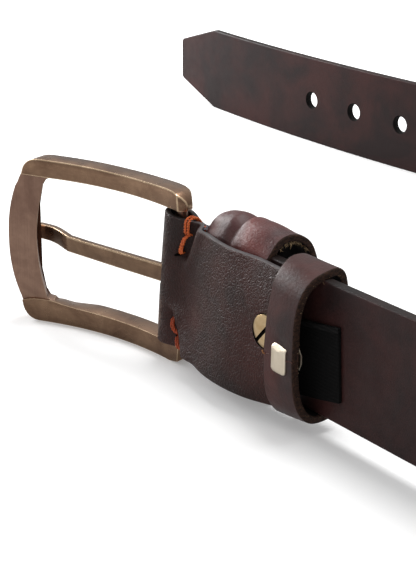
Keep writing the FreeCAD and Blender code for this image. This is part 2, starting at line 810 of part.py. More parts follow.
def build_wide_keeper_staple(keeper):
    thick = size("wide_keeper_thickness")
    back = -size("wide_keeper_strap_gap") - thick
    middle = ((size("wide_keeper_start") + size("wide_keeper_end")) / 2, back, MID)
    plate, legs = staple_solids("hidden_staple", cell("small_staple_crown"),
                                size("small_staple_height"), size("small_staple_width"),
                                "wide_keeper_thickness", thick, middle)
    staple = labelled(fuse("hidden_staple", [plate] + legs), "wide_keeper_staple")
    slots = [doc.copyObject(item) for item in legs] + [keeper_relief()]
    slots = fuse("wide_keeper_tools", slots)
    keeper.Label = "wide_keeper_band"
    pierced = labelled(cut("wide_keeper_cut", keeper, slots), "wide_keeper")
    return pierced, staple


# ---------------------------------------------------------------- fittings

def build_screw():
    x, z = size("screw_distance"), MID + size("screw_rise")
    head = cylinder_along_y("screw_head", "screw_head_diameter / 2", "screw_head_height",
                            x, TAB_BACK, z)
    shank_length = "tab_gap + strap_thickness + 1"
    shank = cylinder_along_y("screw_shank", "screw_shank_diameter / 2", shank_length,
                             x, TAB_BACK + size("tab_gap") + T + 1, z)
    slot = box("screw_slot", "2 * screw_head_diameter", "screw_slot_depth", "screw_slot_width",
               x, TAB_BACK - size("screw_head_height"), z)
    reach = FreeCAD.Rotation(V(0, -1, 0), 50)
    middle = V(size("screw_head_diameter"), 0, size("screw_slot_width") / 2)
    slot.Placement = FreeCAD.Placement(V(x, slot.Placement.Base.y, z) - reach.multVec(middle), reach)
    return labelled(cut("screw_cut", fuse("screw_turned", [head, shank]), slot), "slotted_screw")


def build_post():
    x, z = size("screw_distance"), MID + size("screw_rise")
    flange = cylinder_along_y("post_flange", "post_flange_diameter / 2", "post_flange_height",
                              x, T, z)
    barrel = cylinder_along_y("post_barrel", "post_diameter / 2",
                              "2 * strap_thickness + tab_gap", x, T, z)
    bore = cylinder_along_y("post_bore", "screw_shank_diameter / 2 + screw_fit",
                            "2 * strap_thickness + tab_gap - 1", x, T - 1, z)
    return labelled(cut("post_cut", fuse("post_turned", [flange, barrel]), bore), "screw_post")


def build_stitches(name, heights):
    """Doubled thread: one loop over the strap's edge and one between the two holes."""
    edge_hole, inner_hole, edge = heights
    thread, space = size("thread_width"), size("thread_space")
    out = T + size("stitch_stand_off") + thread
    away = 1 if edge > edge_hole else -1
    over = edge + away * (size("stitch_stand_off") + thread)
    body_list = []
    loops = [(edge_hole + away * space / 2, over), (inner_hole, edge_hole - away * space / 2)]
    for number, (first, second) in enumerate(loops, start=1):
        low, high = min(first, second), max(first, second)
        if number == 2:
            low, high = (low - thread / 2, high) if away == 1 else (low, high + thread / 2)
        bend = 0.9
        outline = [(-out, low, bend), (-out, high, bend), (out, high, bend), (out, low, bend)]
        hole = [(-out + thread, low + thread, 0.2), (-out + thread, high - thread, 0.2),
                (out - thread, high - thread, 0.2), (out - thread, low + thread, 0.2)]
        for strand, start in enumerate((-thread - space / 2, space / 2), start=1):
            label = "%s_strand_%d_%d" % (name, number, strand)
            body = new_body(label)
            section = sketch_in(body, "YZ_Plane", label + "_section",
                                [rounded(outline), rounded(hole)],
                                size("stitch_distance") + start)
            pad(body, section, label + "_pad", cell("thread_width"))
            body_list.append(body)
    group = doc.addObject("Part::Compound", name + "_stitches")
    group.Links = body_list
    return group


def build_woven_tab():
    length, height = size("woven_end") - size("woven_start"), size("woven_height")
    tab = box("woven_tab", "woven_end - woven_start", "woven_thickness", "woven_height", 0, 0, 0)
    turn = FreeCAD.Rotation(V(0, -1, 0), size("woven_tilt"))
    middle = V((size("woven_start") + size("woven_end")) / 2,
               -size("woven_gap") - size("woven_thickness"), MID - size("woven_drop"))
    tab.Placement = FreeCAD.Placement(middle - turn.multVec(V(length / 2, 0, height / 2)), turn)
    return tab


# ---------------------------------------------------------------- assembly

def build_pieces():
    pieces = [build_strap(), build_frame(), build_prong()]
    pieces += build_wide_keeper_staple(build_wide_keeper())
    pieces += build_narrow_keeper()
    pieces += [build_screw(), build_post()]
    for name, heights in stitch_rows().items():
        pieces.append(build_stitches(name, heights))
    pieces.append(build_woven_tab())
    doc.recompute()
    return pieces


def centre_on_origin(pieces):
    """Moves every piece so that the belt's bounding box stands centred on the origin."""
    whole = FreeCAD.BoundBox()
    for piece in pieces:
        whole.add(piece.Shape.optimalBoundingBox(False, False))
    shift = V(-whole.Center.x, -whole.Center.y, 0)
    for piece in pieces:
        moved = piece.Placement
        moved.Base = moved.Base + shift
        piece.Placement = moved
    doc.recompute()
    return shift


def check(pieces):
    for item in doc.Objects:
        if "Invalid" in item.State or "Error" in item.State:
            raise RuntimeError("%s failed: %s" % (item.Label, item.State))
    for piece in pieces:
        if piece.Shape.isNull() or not piece.Shape.isValid():
            raise RuntimeError("%s has no valid shape" % piece.Label)


def write(pieces):
    os.makedirs("parts", exist_ok=True)
    for piece in pieces:
        piece.Shape.exportStep("parts/%s.step" % piece.Label)


belt = build_pieces()
bar_axis = centre_on_origin(belt)
check(belt)
write(belt)
print("bar axis at x %.3f y %.3f" % (bar_axis.x, bar_axis.y))
for piece in belt:
    box_of = piece.Shape.optimalBoundingBox(False, False)
    print("%-22s solids %d volume %.1f mm3  x %.1f..%.1f y %.1f..%.1f z %.2f..%.2f" % (
        piece.Label, len(piece.Shape.Solids), piece.Shape.Volume, box_of.XMin, box_of.XMax,
        box_of.YMin, box_of.YMax, box_of.ZMin, box_of.ZMax))
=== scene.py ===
import bpy
import bmesh
import json
import math
import numpy as np
from mathutils import Matrix, Vector


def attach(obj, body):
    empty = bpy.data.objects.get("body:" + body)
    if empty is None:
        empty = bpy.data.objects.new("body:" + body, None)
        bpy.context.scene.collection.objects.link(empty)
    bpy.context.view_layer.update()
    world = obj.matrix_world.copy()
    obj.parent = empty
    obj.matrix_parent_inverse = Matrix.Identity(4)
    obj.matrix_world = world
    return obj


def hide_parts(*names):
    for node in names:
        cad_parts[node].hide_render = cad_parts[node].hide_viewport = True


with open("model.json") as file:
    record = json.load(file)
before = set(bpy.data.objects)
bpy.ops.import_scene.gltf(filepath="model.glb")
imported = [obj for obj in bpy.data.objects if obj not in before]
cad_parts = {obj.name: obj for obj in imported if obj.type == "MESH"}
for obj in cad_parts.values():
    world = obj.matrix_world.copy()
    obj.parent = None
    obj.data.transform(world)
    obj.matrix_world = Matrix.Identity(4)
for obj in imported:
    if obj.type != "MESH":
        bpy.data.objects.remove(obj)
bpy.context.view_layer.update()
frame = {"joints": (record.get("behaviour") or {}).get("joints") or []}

# Layout frame of this file: millimetres from the buckle bar's axis on the floor, with +X
# along the near leg and +Y towards the far leg. The strap's reverse lies in Y = 0.
joints = {joint["name"]: joint for joint in frame["joints"]}
BAR = np.array([joints["frame_swing"]["pos_m"][0], joints["frame_swing"]["pos_m"][1], 0.0])

WIDTH = 35.0
THICK = 3.0
LIFT = 5.7
MID = LIFT + WIDTH / 2
FRAME_MID = 24.45
SWING = math.radians(19.26)


# ---------------------------------------------------------------- numbers and curves

def smooth(value, low=0.0, high=1.0):
    share = np.clip((value - low) / (high - low), 0, 1)
    return share * share * (3 - 2 * share)


def bump_at(value, centre, width):
    return np.exp(-((value - centre) / width) ** 2)


def spline(knots, values, at):
    """Natural cubic spline through values at knots."""
    knots, values, at = (np.asarray(item, float) for item in (knots, values, at))
    count = len(knots)
    step = np.diff(knots)
    matrix = np.eye(count)
    right = np.zeros(count)
    for i in range(1, count - 1):
        matrix[i, i - 1:i + 2] = step[i - 1], 2 * (step[i - 1] + step[i]), step[i]
        rise = np.diff(values)[i] / step[i] - np.diff(values)[i - 1] / step[i - 1]
        right[i] = 6 * rise
    bend = np.linalg.solve(matrix, right)
    i = np.clip(np.searchsorted(knots, at, side="right") - 1, 0, count - 2)
    left, reach = at - knots[i], knots[i + 1] - at
    cubic = (bend[i] * reach ** 3 + bend[i + 1] * left ** 3) / (6 * step[i])
    straight = (values[i] / step[i] - bend[i] * step[i] / 6) * reach
    straight += (values[i + 1] / step[i] - bend[i + 1] * step[i] / 6) * left
    return cubic + straight


def travelled(points):
    """Distance along a row of points at each of them."""
    return np.r_[0, np.cumsum(np.linalg.norm(np.diff(points, axis=0), axis=1))]


def evenly(points, first, last, fine_count, count):
    """Evenly spaced points on a smooth curve through points, between two of its knots."""
    along = travelled(points)
    fine = np.linspace(along[first], along[last], fine_count)
    line = np.stack([spline(along, column, fine) for column in points.T], 1)
    run = travelled(line)
    even = np.linspace(0, run[-1], count)
    return np.stack([np.interp(even, run, column) for column in line.T], 1)


def curve_through(points, count):
    points = np.asarray(points, float)
    return evenly(points, 0, -1, 40 * len(points), count)


def closed_curve(points, count):
    points = np.asarray(points, float)
    wrapped = np.vstack([points[-3:], points, points[:4]])
    return evenly(wrapped, 3, 3 + len(points), 60 * len(points), count + 1)[:-1]


# ---------------------------------------------------------------- meshes

def placed(name, data):
    """Object of some data, linked to the scene."""
    obj = bpy.data.objects.new(name, data)
    bpy.context.scene.collection.objects.link(obj)
    return obj


def new_object(name, vertices, faces):
    """Mesh object from layout millimetres."""
    mesh = bpy.data.meshes.new(name)
    rows = np.asarray(vertices, float) / 1000 + BAR
    mesh.from_pydata(rows.tolist(), [], faces)
    mesh.validate()
    mesh.update()
    return placed(name, mesh)


def finish_mesh(obj, angle=35.0):
    """Outward normals, smooth faces and sharp edges above an angle."""
    work = bmesh.new()
    work.from_mesh(obj.data)
    bmesh.ops.remove_doubles(work, verts=work.verts, dist=1e-6)
    bmesh.ops.recalc_face_normals(work, faces=work.faces)
    work.to_mesh(obj.data)
    work.free()
    obj.data.shade_smooth()
    obj.data.set_sharp_from_angle(angle=math.radians(angle))
    return obj


def ring_faces(count, size, closed=False):
    """Faces between rings of equal size, with a cap on each end unless the rings close."""
    faces = []
    for i in range(count if closed else count - 1):
        low, high = i * size, (i + 1) % count * size
        for j in range(size):
            k = (j + 1) % size
            faces.append((low + j, low + k, high + k, high + j))
    if not closed:
        faces.append(tuple(range(size))[::-1])
        faces.append(tuple((count - 1) * size + j for j in range(size)))
    return faces


def loft(name, rings, closed=False):
    """Skin over closed rings of equal count."""
    return new_object(name, np.vstack(rings), ring_faces(len(rings), len(rings[0]), closed))


def subtract(obj, tool):
    """Cuts a tool out of an object's mesh and removes the tool."""
    modifier = obj.modifiers.new("boolean", "BOOLEAN")
    modifier.operation = "DIFFERENCE"
    modifier.object = tool
    modifier.solver = "EXACT"
    bpy.context.view_layer.update()
    graph = bpy.context.evaluated_depsgraph_get()
    mesh = bpy.data.meshes.new_from_object(obj.evaluated_get(graph))
    obj.modifiers.clear()
    old = obj.data
    obj.data = mesh
    mesh.name = obj.name
    bpy.data.meshes.remove(old)
    bpy.data.objects.remove(tool)


def open_slots(obj, count):
    """Gives an object at least so many material slots."""
    while len(obj.data.materials) < count:
        obj.data.materials.append(None)


def dressed(obj, body, material, nodes=()):
    """Gives a piece its materials and its body, and hides the CAD parts it stands for."""
    items = material if isinstance(material, list) else [material]
    open_slots(obj, len(items))
    for index, item in enumerate(items):
        obj.data.materials[index] = item
    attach(obj, body)
    if nodes:
        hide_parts(*nodes)
    return obj


def paint_faces(obj, indices):
    """Material index of each face, before anything is cut."""
    open_slots(obj, max(indices) + 1)
    obj.data.polygons.foreach_set("material_index", list(indices))


def merged(pieces):
    """Vertices and faces of several (vertices, faces) as one."""
    vertices, faces, start = [], [], 0
    for points, cells in pieces:
        vertices.append(np.asarray(points, float))
        faces += [tuple(start + corner for corner in cell) for cell in cells]
        start += len(points)
    return np.vstack(vertices), faces


def cutter(pieces, index):
    """One closed tool with outward normals, which gives cut faces a material index."""
    tool = new_object("cutter", *merged(pieces))
    work = bmesh.new()
    work.from_mesh(tool.data)
    bmesh.ops.recalc_face_normals(work, faces=work.faces)
    work.to_mesh(tool.data)
    work.free()
    paint_faces(tool, [index] * len(tool.data.polygons))
    return tool


def turned_solid(centre, axis, profile, sides=40, turn=0.0, squeeze=(1.0, 1.0)):
    """Closed solid of rings (distance along the axis, radius) for a cutter or a lathe piece."""
    centre, axis = np.asarray(centre, float), np.asarray(axis, float)
    axis = axis / np.linalg.norm(axis)
    up = np.array([0.0, 0.0, 1.0])
    side = np.cross(up, axis)
    side /= np.linalg.norm(side)
    lift = np.cross(axis, side)
    angles = np.linspace(0, 2 * math.pi, sides, endpoint=False)
    across = squeeze[0] * np.cos(angles)
    along = squeeze[1] * np.sin(angles)
    wide = across * math.cos(turn) - along * math.sin(turn)
    high = across * math.sin(turn) + along * math.cos(turn)
    ring = np.outer(wide, side) + np.outer(high, lift)
    points = np.vstack([centre + axis * place + ring * radius for place, radius in profile])
    return points, ring_faces(len(profile), sides)


def box_solid(centre, axes, half):
    """Closed box from a centre, three unit directions and three half-lengths."""
    centre = np.asarray(centre, float)
    axes = [np.asarray(axis, float) * size for axis, size in zip(axes, half)]
    points = [centre + i * axes[0] + j * axes[1] + k * axes[2]
              for i in (-1, 1) for j in (-1, 1) for k in (-1, 1)]
    faces = [(0, 1, 3, 2), (4, 6, 7, 5), (0, 4, 5, 1), (2, 3, 7, 6), (0, 2, 6, 4), (1, 5, 7, 3)]
    return np.array(points), faces


def frames_along(path):
    """Unit normals and binormals carried along a path without twist."""
    run = np.gradient(path, axis=0)
    run /= np.linalg.norm(run, axis=1)[:, None]
    normal = np.cross(run[0], [0.3, 0.9, 0.2])
    normals = []
    for tangent in run:
        normal = normal - tangent * np.dot(normal, tangent)
        normal = normal / np.linalg.norm(normal)
        normals.append(normal)
    normals = np.array(normals)
    return normals, np.cross(run, normals)


def tube(path, radii, sides=8):
    """Vertices and faces of a closed tube along a path."""
    normals, others = frames_along(path)
    radii = np.broadcast_to(radii, len(path))
    angles = np.linspace(0, 2 * math.pi, sides, endpoint=False)
    rings = [spot + radius * (np.outer(np.cos(angles), normal) + np.outer(np.sin(angles), other))
             for spot, normal, other, radius in zip(path, normals, others, radii)]
    return np.vstack(rings), ring_faces(len(path), sides)


def gathered(name, pieces):
    """One object from several (vertices, faces)."""
    return finish_mesh(new_object(name, *merged(pieces)), 60)


def extruded(outline, low, high):
    """Bmesh prism of an outline (x, z) between two values of y."""
    work = bmesh.new()
    ring = [work.verts.new((x, low, z)) for x, z in outline]
    made = bmesh.ops.extrude_face_region(work, geom=[work.faces.new(ring)])
    for item in made["geom"]:
        if isinstance(item, bmesh.types.BMVert):
            item.co.y = high
    bmesh.ops.recalc_face_normals(work, faces=work.faces)
    return work


def bevelled(work, angle, offset, **options):
    """Bevels the edges of a bmesh that are sharper than an angle in degrees."""
    sharp = [edge for edge in work.edges
             if len(edge.link_faces) == 2 and edge.calc_face_angle(0) > math.radians(angle)]
    bmesh.ops.bevel(work, geom=sharp, offset=offset, segments=2, affect="EDGES",
                    clamp_overlap=True, **options)


def bisected(work, point, normal, **options):
    everything = work.verts[:] + work.edges[:] + work.faces[:]
    bmesh.ops.bisect_plane(work, geom=everything, plane_co=point, plane_no=normal, **options)


def sliced(work, axis, places):
    """Cuts a bmesh across an axis at places, so that it can bend there."""
    normal = tuple(float(number == axis) for number in range(3))
    for at in places:
        bisected(work, tuple(at * share for share in normal), normal)


def from_bmesh(name, work, angle, slots=0, transform=None):
    """Finished object of a bmesh."""
    mesh = bpy.data.meshes.new(name)
    for _ in range(slots):
        mesh.materials.append(None)
    work.to_mesh(mesh)
    work.free()
    if transform is not None:
        mesh.transform(transform)
    return finish_mesh(placed(name, mesh), angle)


# ---------------------------------------------------------------- materials

def cleared(owner):
    """Empty node tree of a material or a world."""
    owner.use_nodes = True
    owner.node_tree.nodes.clear()
    return owner.node_tree


def feed(tree, socket, value):
    """Links an output to a socket, or sets its constant."""
    if hasattr(value, "is_output"):
        tree.links.new(value, socket)
    else:
        socket.default_value = value


def add_node(tree, kind, inputs=None, **settings):
    """Node with its settings, and inputs that are constants or outputs to link."""
    node = tree.nodes.new("ShaderNode" + kind)
    for key, value in settings.items():
        setattr(node, key, value)
    for key, value in (inputs or {}).items():
        feed(tree, node.inputs[key], value)
    return node


def calculated(tree, operation, first, second):
    return add_node(tree, "Math", {0: first, 1: second}, operation=operation).outputs[0]


def linear(red, green, blue):
    """Linear colour of an 8-bit display colour."""
    return tuple(((c / 255 + 0.055) / 1.055) ** 2.4 if c > 10 else c / 255 / 12.92
                 for c in (red, green, blue))


class Nodes:
    """Short way to build a node material."""

    def __init__(self, name):
        self.material = bpy.data.materials.new(name)
        self.tree = cleared(self.material)
        self.shader = self.add("BsdfPrincipled")
        self.add("OutputMaterial", {0: self.shader.outputs[0]})
        self.place = self.add("TexCoord").outputs["Object"]

    def add(self, kind, inputs=None, **settings):
        return add_node(self.tree, kind, inputs, **settings)

    def set(self, **values):
        for key, value in values.items():
            feed(self.tree, self.shader.inputs[key.replace("_", " ")], value)

    def stretched(self, scale, turn=0.0):
        """Coordinates turned about the vertical, then scaled."""
        source = self.place
        if turn:
            source = self.add("Mapping", {"Rotation": (0, 0, turn), "Vector": source}).outputs[0]
        return self.add("Mapping", {"Scale": scale, "Vector": source}).outputs[0]

    def noise(self, scale, detail=4, rough=0.5, vector=None, distortion=0.0):
        inputs = {"Scale": scale, "Detail": detail, "Roughness": rough,
                  "Distortion": distortion, "Vector": vector or self.place}
        return self.add("TexNoise", inputs).outputs["Fac"]

    def cells(self, vector):
        """Distance to the nearest side of a cell."""
        inputs = {"Scale": 1.0, "Vector": vector}
        return self.add("TexVoronoi", inputs, feature="DISTANCE_TO_EDGE").outputs["Distance"]

    def waves(self, scale, direction):
        inputs = {"Scale": scale, "Distortion": 0.0, "Detail": 2.0, "Vector": self.place}
        return self.add("TexWave", inputs, wave_type="BANDS",
                        bands_direction=direction).outputs["Fac"]

    def bent(self, vector, amount):
        """Coordinates pushed about by a coarse noise, so that cells lose their straight sides."""
        noise = self.add("TexNoise", {"Scale": 0.7, "Detail": 2.0, "Vector": vector})
        scaled = self.add("VectorMath", {0: noise.outputs["Color"]}, operation="SCALE")
        scaled.inputs["Scale"].default_value = amount
        return self.add("VectorMath", {0: vector, 1: scaled.outputs[0]},
                        operation="ADD").outputs[0]

    def ramp(self, value, *stops):
        """Ramp of stops (place, 8-bit display colour or linear grey)."""
        node = self.add("ValToRGB", {0: value})
        elements = node.color_ramp.elements
        while len(elements) < len(stops):
            elements.new(0.5)
        for element, (at, colour) in zip(elements, stops):
            colour = linear(*colour) if isinstance(colour, tuple) else (colour,) * 3
            element.position = at
            element.color = (*colour, 1)
        return node.outputs[0]

    def math(self, operation, first, second):
        return calculated(self.tree, operation, first, second)

    def mix(self, share, first, second, blend="MIX"):
        first, second = ((*item, 1) if isinstance(item, tuple) else item
                         for item in (first, second))
        return self.add("Mix", {0: share, 6: first, 7: second}, data_type="RGBA",
                        blend_type=blend).outputs[2]

    def bump(self, *heights):
        """Chain of bump nodes from (height, strength, depth in metres)."""
        inputs = {}
        for height, strength, depth in heights:
            inputs |= {"Strength": strength, "Distance": depth, "Height": height}
            inputs["Normal"] = self.add("Bump", inputs).outputs[0]
        self.set(Normal=inputs["Normal"])


def leather(name, dark, warm, rough, wrinkle, pores, stretch=(1500, 1500, 1500), shine=0.35,
            mottle=0.0):
    """Waxed full-grain leather: cloudy dye, pebbled wrinkles, pores and an uneven polish, with
    painted shade darkening the crevices between the pebbles.
    """
    n = Nodes(name)
    tint = n.ramp(n.noise(42, 4, 0.62, distortion=0.4), (0.38, dark), (0.64, warm))
    space = n.stretched(stretch)
    pebbles = n.cells(n.bent(space, 1.3))
    height = n.ramp(pebbles, (0.0, 0.0), (0.22, 0.8), (0.5, 1.0))
    creases = n.noise(1.25, 3, 0.6, space, 0.6)
    # painted shade: darker colour in the crevices between the pebbles, stronger with the wrinkle
    # amount
    crevice_shade = n.ramp(pebbles, (0.0, 0.4), (0.16, 1.0))
    n.set(Base_Color=n.mix(0.8 * wrinkle, tint, crevice_shade, "MULTIPLY"), IOR=1.45,
          Specular_IOR_Level=shine)
    polish = n.noise(210, 4, 0.65)
    if mottle:
        polish = n.math("ADD", n.math("MULTIPLY", polish, 1 - mottle),
                        n.math("MULTIPLY", n.noise(620, 5, 0.75, distortion=0.8), mottle))
    n.set(Roughness=n.ramp(polish, (0.32, rough - 0.1), (0.7, rough + 0.12)))
    n.bump((height, wrinkle, 0.00032), (creases, wrinkle, 0.0004),
           (n.noise(1500, 4, 0.7), pores, 0.00018))
    return n.material


def raw_leather(name, dark, fibre):
    """Cut edge or flesh side: matted fibres."""
    n = Nodes(name)
    fluff = n.noise(1.0, 5, 0.7, n.stretched((2600, 900, 2600)), 1.0)
    n.set(Base_Color=n.ramp(fluff, (0.42, dark), (0.62, fibre)), Roughness=0.85,
          Specular_IOR_Level=0.2)
    n.bump((fluff, 0.6, 0.00015))
    return n.material


def brushed(name, dark, light, stretch, turn, rough, strokes=0.16):
    """Antiqued metal: stained plating with brush strokes."""
    n = Nodes(name)
    stains = n.noise(95, 5, 0.65, distortion=0.5)
    lines = n.noise(1.0, 4, 0.6, n.stretched(stretch, turn))
    colour = n.mix(0.35, n.ramp(stains, (0.35, dark), (0.66, light)),
                   n.ramp(lines, (0.3, 0.62), (0.7, 1.0)), "MULTIPLY")
    worn = n.noise(420, 3, 0.6)
    n.set(Base_Color=colour, Metallic=1.0,
          Roughness=n.ramp(worn, (0.3, rough - 0.06), (0.7, rough + 0.08)))
    n.bump((lines, strokes, 0.00004), (worn, 0.12, 0.00003))
    return n.material


def cord_yarn(name, dark, light):
    """Waxed sewing thread with fine fibres."""
    n = Nodes(name)
    fibres = n.noise(1.0, 3, 0.6, n.stretched((5200, 5200, 2400)), 0.8)
    n.set(Base_Color=n.ramp(fibres, (0.36, dark), (0.62, light)), Roughness=0.55,
          Specular_IOR_Level=0.35)
    n.bump((fibres, 0.6, 0.00008))
    return n.material


def tape_weave(name, dark, light):
    """Ribbed woven tape."""
    n = Nodes(name)
    picks = n.waves(520.0, "X")
    weave = n.math("MULTIPLY", n.waves(330.0, "Z"),
                   n.math("ADD", n.math("MULTIPLY", picks, 0.5), 0.5))
    colour = n.mix(n.noise(700, 3, 0.6), n.ramp(weave, (0.1, dark), (0.8, light)),
                   tuple(c * 0.7 for c in linear(*dark)))
    n.set(Base_Color=colour, Roughness=0.9, Specular_IOR_Level=0.15)
    n.bump((weave, 0.3, 0.0001))
    return n.material


ARM_TURN = -SWING
TAB_LEATHER = leather("tab_leather", (42, 26, 23), (68, 33, 28), 0.4, 0.55, 0.35,
                      (1500, 1500, 1100), 0.32)
STRAP_LEATHER = leather("strap_leather", (38, 26, 26), (60, 33, 31), 0.42, 0.05,
                        0.2, shine=0.24)
KEEPER_LEATHER = leather("keeper_leather", (58, 31, 31), (104, 46, 41), 0.37, 0.1,
                         0.8, (800, 800, 800), 0.36, 0.8)
NARROW_LEATHER = leather("narrow_keeper_leather", (43, 27, 26), (74, 36, 32), 0.36,
                         0.05, 0.3, (620, 620, 620), 0.3, 0.35)
# painted highlight: a light grey copy of the dark edge paint, used on the tab's top and bottom
# edges and its end
LIT_EDGE_PAINT = leather("edge_paint_painted_highlight", (62, 57, 58), (78, 73, 74), 0.42, 0.06, 0.3,
                     shine=0.45)
STRAP_EDGE = leather("strap_edge", (20, 14, 13), (38, 24, 22), 0.5, 0.06, 0.3,
                     shine=0.22)
FLESH = raw_leather("flesh_side", (18, 12, 11), (40, 26, 22))
RAW_EDGE = raw_leather("raw_edge", (24, 15, 12), (66, 44, 33))
# painted shade: near-black leather on the walls of cut holes, the slit and slots, and on the
# keepers' insides
SHADE_CUT = raw_leather("cut_painted_shade", (8, 5, 5), (16, 10, 9))
ARM_METAL = brushed("arm_metal", (120, 93, 75), (156, 126, 102), (70, 2600, 2600),
                    ARM_TURN, 0.3)
BAR_METAL = brushed("outer_bar_metal", (134, 105, 91), (162, 131, 113),
                    (2400, 2400, 80), 0.0, 0.36)
# worn plating with a painted highlight: the bright metal on every bevelled edge of the frame and
# prong
WORN_LIT_METAL = brushed("worn_metal_and_highlight", (196, 168, 138), (220, 193, 162),
                     (70, 2600, 2600), ARM_TURN, 0.28, 0.06)
PRONG_METAL = brushed("prong_metal", (118, 94, 77), (150, 122, 98),
                      (60, 2600, 2600), ARM_TURN, 0.32)
STAPLE_METAL = brushed("staple_metal", (232, 216, 190), (250, 238, 218),
                       (900, 900, 90), 0.0, 0.34)
SCREW_METAL = brushed("screw_metal", (206, 174, 128), (244, 222, 184),
                      (500, 500, 500), 0.0, 0.34)
# painted shade: near-black metal on the walls of the screw's slot
SLOT_SHADE_METAL = brushed("slot_painted_shade", (16, 13, 10), (30, 24, 18), (500, 500, 500),
                     0.0, 0.6)
THREAD = cord_yarn("orange_thread", (160, 62, 24), (236, 122, 60))
# painted shade: a darker copy of the orange thread, for the lower stitches
SHADED_THREAD = cord_yarn("orange_thread_painted_shade", (120, 44, 20), (200, 86, 44))
TAN_THREAD = cord_yarn("tan_thread", (120, 70, 36), (176, 118, 66))
FIBRE = cord_yarn("leather_fibre", (70, 48, 32), (196, 168, 128))
# pale fibres that also stand in for a glint: partly a painted highlight
PALE_FIBRE_AND_GLINT = cord_yarn("pale_fibre_and_glint", (120, 116, 128), (214, 212, 222))
SEAM = cord_yarn("seam_line", (58, 26, 20), (86, 40, 30))
TAPE = tape_weave("woven_tape", (9, 9, 9), (20, 19, 19))
# painted highlight: a lighter copy of the black tape for its folded top edge
LIT_TAPE_FOLD = tape_weave("woven_fold_painted_highlight", (20, 19, 19), (38, 37, 37))


# ---------------------------------------------------------------- strap

def march(start, heading, moves):
    """Legs of a plane path: ("run", length) goes straight, ("turn", radius, degrees) bends."""
    legs, (x, y) = [], start
    for move in moves:
        course = math.radians(heading)
        if move[0] == "run":
            legs.append((x, y, heading, move[1], 0.0))
            x, y = x + move[1] * math.cos(course), y + move[1] * math.sin(course)
            continue
        radius, sweep = move[1], move[2]
        bend = math.copysign(1 / radius, sweep)
        legs.append((x, y, heading, radius * math.radians(abs(sweep)), bend))
        end = math.radians(heading + sweep)
        x += (math.sin(end) - math.sin(course)) / bend
        y -= (math.cos(end) - math.cos(course)) / bend
        heading += sweep
    return legs


def station(legs, distance):
    for x, y, heading, length, bend in legs:
        if distance <= length:
            break
        distance -= length
    course = math.radians(heading)
    if bend == 0:
        return x + distance * math.cos(course), y + distance * math.sin(course), course
    end = course + distance * bend
    return (x + (math.sin(end) - math.sin(course)) / bend,
            y - (math.cos(end) - math.cos(course)) / bend, end)


PINCH = 6.4
TURN = 184.6
TIP_ARC = 156.0
STRAP_LENGTH, NEAR_RUN, TURN_RADIUS = 1113.0, 265.0, 104.0
TIP_BEND = 830.0
LEVEL_END = 120.0
EDGE_ROUND = 0.5
TURN_LENGTH = TURN_RADIUS * math.radians(TURN)
FAR_RUN = STRAP_LENGTH - NEAR_RUN - TURN_LENGTH - TIP_ARC
PATH = march((PINCH, THICK / 2), 0, [("run", NEAR_RUN - PINCH), ("turn", TURN_RADIUS, TURN),
                                     ("run", FAR_RUN),
                                     ("turn", TIP_BEND, -math.degrees(TIP_ARC / TIP_BEND))])
PATH_LENGTH = sum(leg[3] for leg in PATH)
HOLE_FIRST, HOLE_PITCH, HOLE_COUNT = 99.0, 25.4, 5


def drop(x):
    """How far the near leg has come down from its lift at X."""
    span = NEAR_RUN - LEVEL_END
    radius = (span ** 2 + LIFT ** 2) / (4 * LIFT)
    x = np.clip(np.asarray(x, float), LEVEL_END, NEAR_RUN)
    first = radius - np.sqrt(radius ** 2 - (x - LEVEL_END) ** 2)
    second = LIFT - (radius - np.sqrt(radius ** 2 - (NEAR_RUN - x) ** 2))
    return np.where(x < (LEVEL_END + NEAR_RUN) / 2, first, second)


# Mid-surface of the folded end, from the tab's end round the bar to the front, at five
# heights: shares of the way up from the bottom edge to the top edge.
FRONT_RUN = [(1.6, 3.65), (6.5, 1.95), (12, 1.9), (20, 1.75), (30, 1.5), (36, 1.5)]
FOLD_SHARES = [0.0, 0.22, 0.5, 0.77, 1.0]
FOLD_LINES = [
    [(52.5, -3.0), (46, -4.2), (40, -6.8), (34, -8.3), (28, -8.85), (22.5, -8.7), (15, -6.85),
     (10.8, -5.15), (7.4, -3.75), (3.4, -4.0), (-1.3, -5.4), (-4.5, -3.75), (-5.0, 0.8),
     (-2.4, 3.6)],
    [(52.5, -4.9), (46, -5.35), (40, -6.5), (34, -7.9), (28, -8.3), (22.5, -7.6), (15, -5.9),
     (10.6, -4.3), (7.1, -3.3), (3.5, -3.7), (-1.0, -5.1), (-4.3, -3.45), (-4.7, 0.9),
     (-2.3, 3.55)],
    [(52.5, -4.9), (46, -5.15), (40, -5.5), (34, -6.4), (28, -6.7), (22.5, -6.1), (15, -4.5),
     (10.5, -3.1), (7.0, -2.4), (3.5, -3.1), (-0.7, -4.75), (-3.95, -3.05), (-4.4, 0.9),
     (-2.2, 3.5)],
    [(52.5, -3.9), (46, -4.2), (40, -4.4), (34, -4.8), (28, -5.15), (22.5, -4.9), (15, -3.5),
     (10.5, -2.3), (7.0, -1.6), (3.5, -2.3), (-0.4, -4.1), (-3.5, -2.6), (-4.1, 0.9),
     (-2.1, 3.45)],
    [(52.5, -1.75), (46, -1.95), (40, -1.95), (34, -2.3), (28, -3.3), (22.5, -3.45),
     (15, -2.3), (10.5, -1.3), (7.2, -0.7), (3.5, -2.0), (-0.3, -3.5), (-3.05, -2.2),
     (-3.7, 0.9), (-2.0, 3.4)],
]
FOLD_STATIONS = 300
FOLD_ROWS = 96
FOLD_THICK = 1.55
CORNER_STEPS = 4


